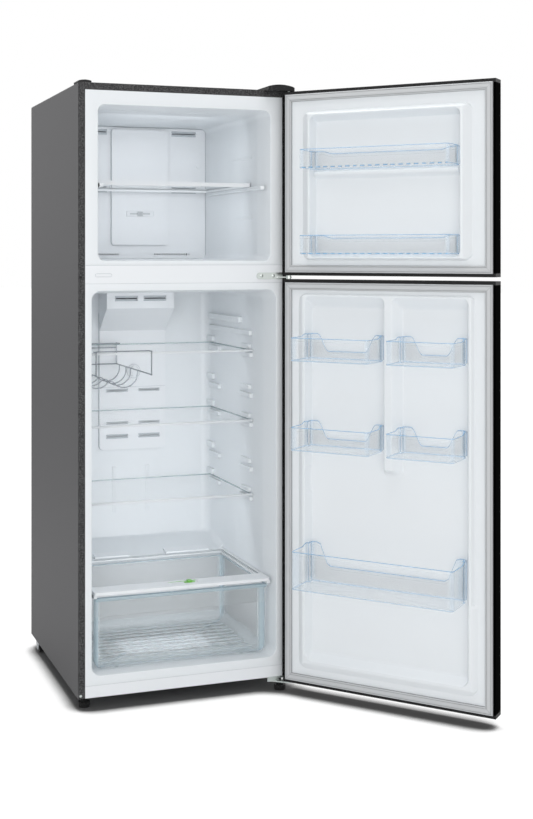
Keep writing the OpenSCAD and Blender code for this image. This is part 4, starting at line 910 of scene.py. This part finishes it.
@dataclass
class Gasket:
    """Grey magnetic gasket: three soft ridges swept round the door, mitred at the corners."""

    door: Body
    half: float
    low: float
    top: float

    def build(self) -> None:
        """Sweeps the ridge profile along the four sides, each its own strip."""
        # Distance from the gasket's outer edge, and depth
        corners = [(0, -9), (0, -4.6), (1.2, -3.2), (3.4, -2.9), (4.0, -3.9), (4.6, -2.7), (11.0, -2.0),
                   (15.6, -2.3), (16.2, -3.4), (16.8, -2.6), (18.8, -3.2), (20, -5.0), (20, -9)]
        profile = soften(np.array(corners, float), [0] + [0.4] * (len(corners) - 2) + [0], 4)
        inset, depth = profile[:, 0], profile[:, 1]
        left, right = -self.half + inset, self.half - inset
        low, top = self.low + inset, self.top - inset
        # Painted shade: the grooves and both rims are darker, standing for the shade that falls in them, and
        # the mitre at each corner is darker too
        away = np.min(np.abs(inset[:, None] - np.array([0.0, 4.0, 16.2, 20.0])), axis=1)
        dark = np.clip(1.2 - away, 0, 1)
        share = np.concatenate([[0, 0.0025], np.linspace(0.01, 0.99, 12), [0.9975, 1]])[:, None]
        ends = np.where((share < 0.002) | (share > 0.998), 0.6, 0.0)
        runs = [((left, low), (right, low)), ((right, low), (right, top)), ((right, top), (left, top)),
                ((left, top), (left, low))]
        piece = Surface(f"{self.door.value}_gasket_seal")
        for start, end in runs:
            x = start[0][None] * (1 - share) + end[0][None] * share
            z = start[1][None] * (1 - share) + end[1][None] * share
            piece.add_grid(np.stack([x, np.broadcast_to(depth, x.shape), z], axis=-1),
                           weight=np.maximum(dark[None], ends), wrap=False)
        piece.finish(self.door, "gasket", HINGE.open, [f"{self.door.value}_gasket"])


# ---- clear bins and drawer -----------------------------------------------------------------


@dataclass(frozen=True)
class ClearBin:
    """Closed shell of clear styrene: outer wall, rounded rim, inner wall and floor, in millimetres."""

    name: str
    x0: float
    x1: float
    step_left: float
    step_right: float
    rear: float
    shoulder: float
    front: float
    low: float
    height: float
    rise: float
    scoop: float
    dashes: bool = False
    wall: float = 2.2
    draw_in: float = 0.97
    dash_period: float = 21

    def corners(self, inset: float) -> tuple[np.ndarray, list[float]]:
        """Corners of the plan, shrunk by the given inset, and the reach of each rounding.

        Args:
            inset: distance inside the outer wall.

        Returns:
            Corner points, and how far each is rounded.
        """
        left, right, front = self.x0 + inset, self.x1 - inset, self.front - inset
        shoulder, rear = self.shoulder + inset, self.rear + inset
        inner_left, inner_right = self.x0 + self.step_left + inset, self.x1 - self.step_right - inset
        points = [(left, front), (right, front), (right, shoulder), (inner_right, shoulder),
                  (inner_right, rear), (inner_left, rear), (inner_left, shoulder), (left, shoulder)]
        return np.array(points, float), [max(r - inset, 0.8) for r in (9, 9, 3, 2, 4, 4, 2, 3)]

    def ring(self, inset: float) -> np.ndarray:
        """Closed ring of the plan with rounded corners and points along each side.

        Args:
            inset: distance inside the outer wall.

        Returns:
            Array of ring points by two.
        """
        points, reach = self.corners(inset)
        count = len(points)
        ring = []
        for k in range(count):
            here, before, after = points[k], points[k - 1], points[(k + 1) % count]
            a = here + (before - here) * min(reach[k] / np.linalg.norm(before - here), 0.45)
            b = here + (after - here) * min(reach[k] / np.linalg.norm(after - here), 0.45)
            t = np.linspace(0, 1, 6)[:, None]
            ring.append(a * (1 - t) ** 2 + here * 2 * t * (1 - t) + b * t**2)
            nxt = min(reach[(k + 1) % count] / np.linalg.norm(after - here), 0.45)
            stop = after + (here - after) * nxt
            t = np.linspace(0, 1, 182 if self.dashes else 42)[1:-1, None]
            ring.append(b * (1 - t) + stop * t)
        return np.concatenate(ring)

    def top(self, ring: np.ndarray) -> np.ndarray:
        """Height of the wall along the ring: level in front, rising at the rear ends, scooped behind.

        Args:
            ring: outer ring of the plan.

        Returns:
            Height of the rim at each ring point.
        """
        along = np.clip((self.shoulder + 30 - ring[:, 1]) / 24, 0, 1)
        height = self.low + self.height + self.rise * along**2 * (3 - 2 * along)
        inner = np.minimum(ring[:, 0] - self.x0 - self.step_left, self.x1 - self.step_right - ring[:, 0])
        dip = np.clip((inner - 20) / 32, 0, 1)
        dip = dip * dip * (3 - 2 * dip) * (ring[:, 1] < self.rear + 5)
        return height * (1 - dip) + (self.low + self.scoop) * dip

    def build(self) -> None:
        """Sweeps the ring up the outside, over the rim and down the inside."""
        outer = self.ring(0)
        low, wall, top = self.low, self.wall, self.top(outer)
        # Inset, height and edge tint of each ring; the first and the last close the floor
        table = [(4, low, 0.1), (4, low, 0.25), (1.2, low + 0.5, 0.75), (0, low + 2.6, 0.7),
                 (0, low + 5, 0.0), (0, low + 7, 0.0), (0, top - 10.2, 0.0), (0, top - 9.4, 0.4),
                 (0, top - 8.6, 0.0), (0, top - 2.6, 0.0), (0, top - 1.2, 0.85), (0.5, top, 1.0),
                 (wall - 0.5, top, 1.0), (wall, top - 1.2, 0.7), (wall, top - 3.2, 0.0),
                 (wall, low + 6, 0.0), (wall + 1.2, low + wall + 0.6, 0.3), (wall + 4, low + wall, 0.1),
                 (wall + 4, low + wall, 0.0)]
        rings = [self.ring(inset) for inset, _, _ in table]
        for end in (0, -1):
            rings[end] = rings[end] * (1 - self.draw_in) + outer.mean(axis=0) * self.draw_in
        grid = np.stack([np.insert(ring, 2, height, axis=1) for ring, (_, height, _) in zip(rings, table)])
        weight = np.maximum(np.array([tint for _, _, tint in table])[:, None], 0.3 * bend_weight(outer)[None])
        if self.dashes:
            # Painted light: dashes of edge tint along the lower front edge stand for short ribs catching the
            # light
            front = outer[:, 1] > self.front - 1
            beat = (np.sin(outer[:, 0] * 2 * np.pi / self.dash_period) > -0.3) * front
            weight[2:4] = np.maximum(weight[2:4], beat * 1.0) * np.where(front, beat, 1)
        piece = Surface(f"{self.name}_shell")
        piece.add_grid(grid, True, weight)
        self.add_hooks(piece)
        piece.finish(self.name, "clear_blue", HINGE.open, [self.name])

    def add_hooks(self, piece: Surface) -> None:
        """Adds a hollow hook to each end wall: two upright ribs under a short roof.

        Args:
            piece: surface of the bin.
        """
        y0, y1 = self.rear + 1, self.shoulder - 0.5
        z0, z1 = self.low + 4, self.low + self.height + self.rise - 0.5
        for x, out in ((self.x1 - self.step_right - 0.1, 3.6), (self.x0 + self.step_left + 0.1, -3.6)):
            for box in ((y0, z0, y0 + 1.8, z1), (y1 - 1.8, z0, y1, z1), (y0, z1 - 3, y1, z1)):
                grid = boss(box, 0.8, 0.0, abs(out), 0.5)
                grid = np.stack([x + np.sign(out) * grid[..., 1], grid[..., 0], grid[..., 2]], axis=-1)
                piece.add_grid(grid, out < 0, 0.5)


def build_doors() -> None:
    """Builds the liners, gaskets and bins of both doors."""
    freezer_door_liner()
    fridge_door_liner()
    Gasket(Body.FREEZER_DOOR, 292.4, 1161, 1650).build()
    Gasket(Body.FRIDGE_DOOR, 292.4, 40, 1133.5).build()
    for name, low in (("freezer_bin_upper", 1440), ("freezer_bin_lower", 1211)):
        ClearBin(name, -208, 208, 5, 5, -14, 13.5, 85, low, 51, 0, 44, True).build()
    for name, low in (("fridge_bin_upper", 926), ("fridge_bin_lower", 688)):
        ClearBin(f"{name}_hinge", 4, 227, 5.5, 7, -20, 2.5, 100, low, 63, 6, 22).build()
        ClearBin(f"{name}_free", -225, -43, 7, 5.5, -20, 2.5, 100, low, 63, 6, 22).build()
    ClearBin("bottle_bin", -224, 224, 7, 7, -20, 2.5, 100, 318, 102, 6, 46).build()


def build_drawer() -> None:
    """Builds the crisper drawer: rounded plan rings, with floor ribs, runners and a front band."""
    piece = Surface("crisper_drawer_shell")
    rounding, wall = 26, 3.4
    turn = np.radians(np.linspace(0, 90, 9))
    out, up = rounding * (1 - np.sin(turn)), rounding * (1 - np.cos(turn))
    # Inset, height and edge tint of each ring
    rows = [(120, 95.0, 0.0)] + [(a, 95 + b, 0.3) for a, b in zip(out, up)]
    rows += [(0, 124.0, 0.0), (0, 240.0, 0.0), (0, 286.0, 0.0), (0, 289.2, 0.9), (0.6, 290.0, 1.0),
             (3.0, 290.0, 1.0), (wall, 288.0, 0.6), (wall, 284.0, 0.0), (wall, 124.0, 0.0)]
    rows += [(wall + a * 0.85, 98.4 + b * 0.85, 0.25) for a, b in zip(out[::-1], up[::-1])]
    rows += [(120, 98.4, 0.0)]
    rings, weights = [], []
    for a, height, weight in rows:
        ring = rounded_loop((-246 + a, 35 + a, 246 - a, 397 - a), max(10 - a, 1.5), 8, 70)
        rings.append(np.insert(ring, 2, height, axis=1))
        # The corners are seen edge on, so they gather the tint
        weights.append(np.maximum(weight, 0.7 * bend_weight(ring)))
    piece.add_grid(np.stack(rings), True, np.stack(weights))
    for y in range(52, 353, 30):
        piece.add_grid(boss((-224, y, 224, y + 6), 2.5, 98.2, 101.4, 1.6)[..., [0, 2, 1]], weight=0.42)
    for x in (-180, 180):
        piece.add_grid(boss((x - 5, 56, x + 5, 386), 2, 95.2, 93.1, 0.8)[..., [0, 2, 1]], True, 0.3)
    band = soften(np.array([[37, 238], [33, 240], [33, 281], [26, 283.5], [26, 289.6], [37, 289.6]], float),
                  [0, 1.5, 3, 2.5, 1.5, 0], 5)
    grid = np.stack([np.insert(band, 0, x, axis=1) for x in np.linspace(-245.5, 245.5, 24)])
    piece.add_grid(grid, weight=np.where(band[:, 1] > 280, 0.8, 0.25)[None], wrap=False)
    piece.finish(Body.DRAWER, "drawer_clear", replaces=["crisper_drawer"])


# ---- trims and marks -----------------------------------------------------------------------


def build_trims() -> None:
    """White front trims of the fresh food shelves: a rounded bar each, lower than the solid clip."""
    for number in (1, 2, 3):
        low, high = (np.array(corner) * 1000 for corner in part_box(f"shelf_trim_{number}"))
        rows = []
        for x, a in ((low[0], 2.9), (low[0], 0.5), (low[0] + 0.5, 0.0), (high[0] - 0.5, 0.0), (high[0], 0.5),
                     (high[0], 2.9)):
            ring = rounded_loop((low[1] + a, low[2] + 3 + a, high[1] - a, high[2] - a), 2.4, 6)
            rows.append(np.insert(ring, 0, x, axis=1))
        piece = Surface(f"shelf_trim_bar_{number}")
        piece.add_grid(np.stack(rows))
        piece.finish(f"shelf_{number}", "white_plastic", mm, [f"shelf_trim_{number}"])


def humidity_wedge() -> None:
    """Thin green wedge behind the humidity slider: its depth grows along x by a straight line."""
    low, high = (np.array(corner) * 1000 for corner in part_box("humidity_slider"))
    x = np.linspace(-32, 48, 24)
    front = (low[1] + high[1]) / 2 + 10
    deep = 1.5 + 4.5 * (x + 32) / 80
    top = high[2] - 5 + 0.25
    rows = [(np.full_like(x, front), top - 0.4), (np.full_like(x, front), top), (front + deep, top),
            (front + deep, top - 0.4)]
    piece = Surface("humidity_wedge")
    grid = np.stack([np.stack([x, y, np.full_like(x, z)], axis=1) for y, z in rows])
    piece.add_grid(grid, True, wrap=False)
    piece.finish("crisper_cover", "slider_green", mm)


def vent_and_joint_shade() -> None:
    """Painted shade: grey floors of the air vents, each above and below its slot, and grey lines between
    covers and in joints, where shade falls.
    """
    vents = [(x0, z0, x1, z1, 512.2) for x0, x1 in ((118, 199), (-170, -88))
             for z0, z1 in ((1577, 1594), (SHELF_TOP - 2, SHELF_TOP + 7), (SHELF_TOP - 13, SHELF_TOP - 4))]
    vents += [(x0, z0, x1, z1, 536.2) for x0, x1 in ((-85, -14), (18, 88))
              for z0, z1 in ((784, 794), (684, 693), (640, 654))]
    vents += [(x0, 1068, x1, 1085, 446.2) for x0, x1 in ((-81, -8), (9, 82))]
    piece = Surface("vent_and_joint_painted_shade")
    for x0, z0, x1, z1, depth in vents:
        middle = (z0 + z1) / 2
        for low, high in ((z0 + 0.3, middle - 1.5), (middle + 1.5, z1 - 0.3)):
            piece.add_grid(boss((x0 + 0.3, low, x1 - 0.3, high), 1.6, depth, depth - 0.25, 0.2), True)
    # Shadow line round the duct where it stands on the back wall
    duct = [[-a, 606 - a + 106, a, 1040, 14 + a - 106, y]
            for a, y in ((107.4, 542.9), (107.4, 542.6), (106.05, 542.6))]
    # Painted shade in the seam above the evaporator cover and beside its right end
    seam = [[-231 + a, 1197 + a, 231 - b, 1602.4 - b, 12, y]
            for a, b, y in ((0.2, 0, 511.1), (0.2, 0, 510.9), (0.4, 1.4, 510.9))]
    for line in (duct, seam):
        piece.add_grid(tub(np.array(line), 8, 2), True)
    # Painted shade in the joints between the white rails and the tubs
    for low, high in ((68.0, 68.9), (1132.1, 1133.1), (1180.9, 1181.9)):
        piece.add_grid(boss((-281, low, 281, high), 0.4, 1.4, 0.5, 0.2), True)
    # Painted shade along the edge of the cover's raised middle, and in the joint across the duct
    edge = [[-76.5 + a, 1238.5 + a, 105.5 - a, 1594.5 - a, 8, y]
            for a, y in ((0, 511.1), (0, 510.8), (1.2, 510.8))]
    piece.add_grid(tub(np.array(edge), 6, 2), True)
    piece.add_grid(boss((-105, 799, 105, 800), 0.4, 535.2, 534.8, 0.2), True)
    piece.finish(Body.CABINET, "painted_shade_grey")


def dial_rim_painted_shade() -> None:
    """Fine rims round the dial's disc and knob, in the painted shade grey that stands for the shade at their
    edges.
    """
    piece = Surface("dial_rim_painted_shade")
    for radius, depth in ((21.9, 531.9), (15.9, 525.9)):
        box = (2 - radius, 848 - radius, 2 + radius, 848 + radius)
        piece.add_grid(rim(box, radius, depth, 1.3), True)
    piece.finish("temperature_dial", "painted_shade_grey")


def rail_marks() -> None:
    """Long moulded oval on the rail between the compartments, and the black blanking plug beside it."""
    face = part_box("mullion_cover")[0].y * 1000 - FRONT * 1000
    # Painted shade: the oval is outlined by a thin grey rim standing for the shade of its moulded edge
    piece = Surface("mullion_oval_painted_shade")
    piece.add_grid(rim((-254, 1150.6, -208, 1160), 4.6, face - 0.1, 0.9), True)
    piece.finish(Body.CABINET, "painted_shade_grey")
    plug = Surface("blanking_plug")
    plug.add_grid(boss((-296.8, 1146.2, -289.2, 1153.8), 3.8, 0.1, -0.45, 0.3), True)
    plug.finish(Body.CABINET, "black_plastic")


def slot_frame() -> None:
    """Flat raised frame round the slot of the airflow slider."""
    low, high = (np.array(corner) * 1000 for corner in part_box("airflow_slider"))
    middle, height, face = (low[0] + high[0]) / 2, (low[2] + high[2]) / 2, low[1] + 4.8
    rows = [(43.8, 8.9, face + 0.8), (43.6, 8.7, face - 0.9), (43.2, 8.3, face - 1.2),
            (42.6, 7.8, face - 1.2), (42.3, 7.5, face - 0.9), (42.2, 7.4, face + 0.8)]
    path = np.array([[middle - a, height - b, middle + a, height + b, 1.6, y] for a, b, y in rows])
    piece = Surface("airflow_frame")
    piece.add_grid(tub(path, 5, 1), True)
    piece.finish(Body.CABINET, "white_plastic", mm)


# ---- studio --------------------------------------------------------------------------------


@dataclass(frozen=True)
class Softbox:
    """Rectangular studio lamp."""

    name: str
    place: tuple[float, float, float]
    aim: tuple[float, float, float]
    size: tuple[float, float]
    watts: float
    tint: str = "#ffffff"

    def build(self) -> None:
        """Adds the lamp, turned towards its aim."""
        light = bpy.data.lights.new(self.name, "AREA")
        light.shape = "RECTANGLE"
        light.size, light.size_y = self.size
        light.energy = self.watts
        light.color = hex_rgb(self.tint)[:3]
        lamp = bpy.data.objects.new(self.name, light)
        lamp.location = self.place
        lamp.rotation_euler = (Vector(self.aim) - Vector(self.place)).to_track_quat("-Z", "Y").to_euler()
        bpy.context.scene.collection.objects.link(lamp)


@dataclass(frozen=True)
class Studio:
    """White floor, pale surroundings, lamps and camera.

    The focal length and the optical centre are counted in steps of PICTURE_SHAPE.
    """

    eye: tuple[float, float, float] = (-1.0873, -3.3238 + FRONT, 1.2144)
    yaw: float = 19.17
    focal: float = 1288.65
    centre: tuple[float, float] = (210.03, 252.97)

    def build(self) -> None:
        """Builds the floor, the surroundings, the lamps and the camera."""
        self.floor()
        self.world()
        for lamp in (Softbox("key", (-1.9, -3.6, 2.3), (0.1, 0.0, 0.9), (2.4, 2.4), 24),
                     Softbox("front", (-0.5, -5.2, 1.4), (0.1, 0.0, 0.8), (3.0, 2.2), 41),
                     Softbox("top", (0.2, -0.2, 4.4), (0.2, -0.2, 0.0), (3.0, 3.0), 95),
                     Softbox("left", (-3.8, 0.6, 1.6), (0.0, 0.2, 0.9), (2.4, 2.4), 4.5)):
            lamp.build()
        # Small lamps inside each bay face the back, so that the interior is as light as the doors.
        # Each row gives its depth, height, how far it aims down, its own height and its power.
        for name, depth, height, down, high, watts in (("freezer_upper", 0.13, 1.54, 0.35, 0.08, 0.17),
                                                       ("freezer_lower", 0.13, 1.34, 0.35, 0.08, 0.17),
                                                       ("shelf_top", 0.17, 1.05, 0.35, 0.06, 0.125),
                                                       ("shelf_middle", 0.17, 0.87, 0.35, 0.06, 0.135),
                                                       ("shelf_low", 0.17, 0.66, 0.35, 0.06, 0.135),
                                                       ("crisper_top", 0.17, 0.46, 0.35, 0.06, 0.14),
                                                       ("drawer", 0.06, 0.25, 0.1, 0.06, 0.24)):
            y = FRONT + depth
            Softbox(f"{name}_fill", (0, y, height), (0, y + 1, height - down), (0.34, high), watts,
                    "#f9fbfe").build()
        self.camera()
        bpy.context.scene.view_settings.view_transform = "Standard"

    @staticmethod
    def floor() -> None:
        """White floor that keeps the shadow."""
        mesh = bpy.data.meshes.new("floor")
        mesh.from_pydata([(-20, -9, 0), (20, -9, 0), (20, 40, 0), (-20, 40, 0)], [], [(0, 1, 2, 3)])
        mat, shader = new_material("white_vinyl_floor", {"Roughness": 0.7, "Specular IOR Level": 0.1,
                                                         "Emission Color": (1, 1, 1, 1)})
        tree = mat.node_tree
        path = add_node(tree, "ShaderNodeLightPath")
        # Other rays meet a white floor. The camera sees part of that light and a glow that stops short
        # wherever the object stands close to the floor, which leaves a tight contact shadow.
        base = mixed(tree, "#fafafa", "#6a6a6a", path.outputs["Is Camera Ray"])
        tree.links.new(base, shader.inputs["Base Color"])
        place = add_node(tree, "ShaderNodeTexCoord")
        away = add_node(tree, "ShaderNodeVectorMath", {}, {0: place.outputs["Object"]}, operation="LENGTH")
        fade = add_node(tree, "ShaderNodeMapRange", {1: 0.9, 2: 2.4, 3: 0.93, 4: 1.05},
                        {0: away.outputs["Value"]}, interpolation_type="SMOOTHSTEP")
        near = add_node(tree, "ShaderNodeAmbientOcclusion", {"Distance": 0.09}, {}, samples=32)
        dark = add_node(tree, "ShaderNodeMapRange", {1: 0.5, 2: 0.8}, {0: near.outputs["AO"]},
                        interpolation_type="SMOOTHSTEP")
        glow = add_node(tree, "ShaderNodeMath", {}, {0: fade.outputs[0], 1: dark.outputs[0]},
                        operation="MULTIPLY")
        seen = add_node(tree, "ShaderNodeMath", {}, {0: glow.outputs[0], 1: path.outputs["Is Camera Ray"]},
                        operation="MULTIPLY")
        tree.links.new(seen.outputs[0], shader.inputs["Emission Strength"])
        mesh.materials.append(mat)
        plane = bpy.data.objects.new("floor", mesh)
        bpy.context.scene.collection.objects.link(plane)

    @staticmethod
    def world() -> None:
        """White to the camera, glossy and clear rays, paler light for everything else."""
        world = bpy.data.worlds.new("studio")
        bpy.context.scene.world = world
        world.use_nodes = True
        tree = world.node_tree
        back = tree.nodes["Background"]
        path = add_node(tree, "ShaderNodeLightPath")
        either = add_node(tree, "ShaderNodeMath", {},
                          {0: path.outputs["Is Camera Ray"], 1: path.outputs["Is Transmission Ray"]},
                          operation="MAXIMUM")
        every = add_node(tree, "ShaderNodeMath", {}, {0: either.outputs[0], 1: path.outputs["Is Glossy Ray"]},
                         operation="MAXIMUM")
        strength = add_node(tree, "ShaderNodeMapRange", {3: 0.5, 4: 1.0}, {0: every.outputs[0]})
        back.inputs["Color"].default_value = (1, 1, 1, 1)
        tree.links.new(strength.outputs[0], back.inputs["Strength"])

    def camera(self) -> None:
        """Level camera with a shifted lens, so that upright edges stay upright."""
        width, height = PICTURE_SHAPE
        data = bpy.data.cameras.new("camera")
        data.sensor_width = SENSOR_MM
        data.lens = self.focal / height * SENSOR_MM
        data.shift_x = (width / 2 - self.centre[0]) / height
        data.shift_y = -(height / 2 - self.centre[1]) / height
        data.clip_end = 90
        eye = bpy.data.objects.new("camera", data)
        eye.location = self.eye
        eye.rotation_euler = (np.radians(90), 0, -np.radians(self.yaw))
        bpy.context.scene.collection.objects.link(eye)
        bpy.context.scene.camera = eye


def main() -> None:
    """Builds the object's looks, then the studio."""
    logging.basicConfig(level=logging.INFO, format="%(name)s: %(message)s")
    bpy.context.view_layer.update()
    dress_frame()
    CompartmentLiner("freezer_tub", Mouth(246, 1193, 1609, 20, 281, 1181.8, 1647)).build_freezer()
    CompartmentLiner("fridge_tub", Mouth(263, 93, 1113, 26, 281, 68.8, 1132.2)).build_fridge()
    build_doors()
    build_drawer()
    build_trims()
    humidity_wedge()
    vent_and_joint_shade()
    dial_rim_painted_shade()
    rail_marks()
    slot_frame()
    Studio().build()


if __name__ == "__main__":
    main()
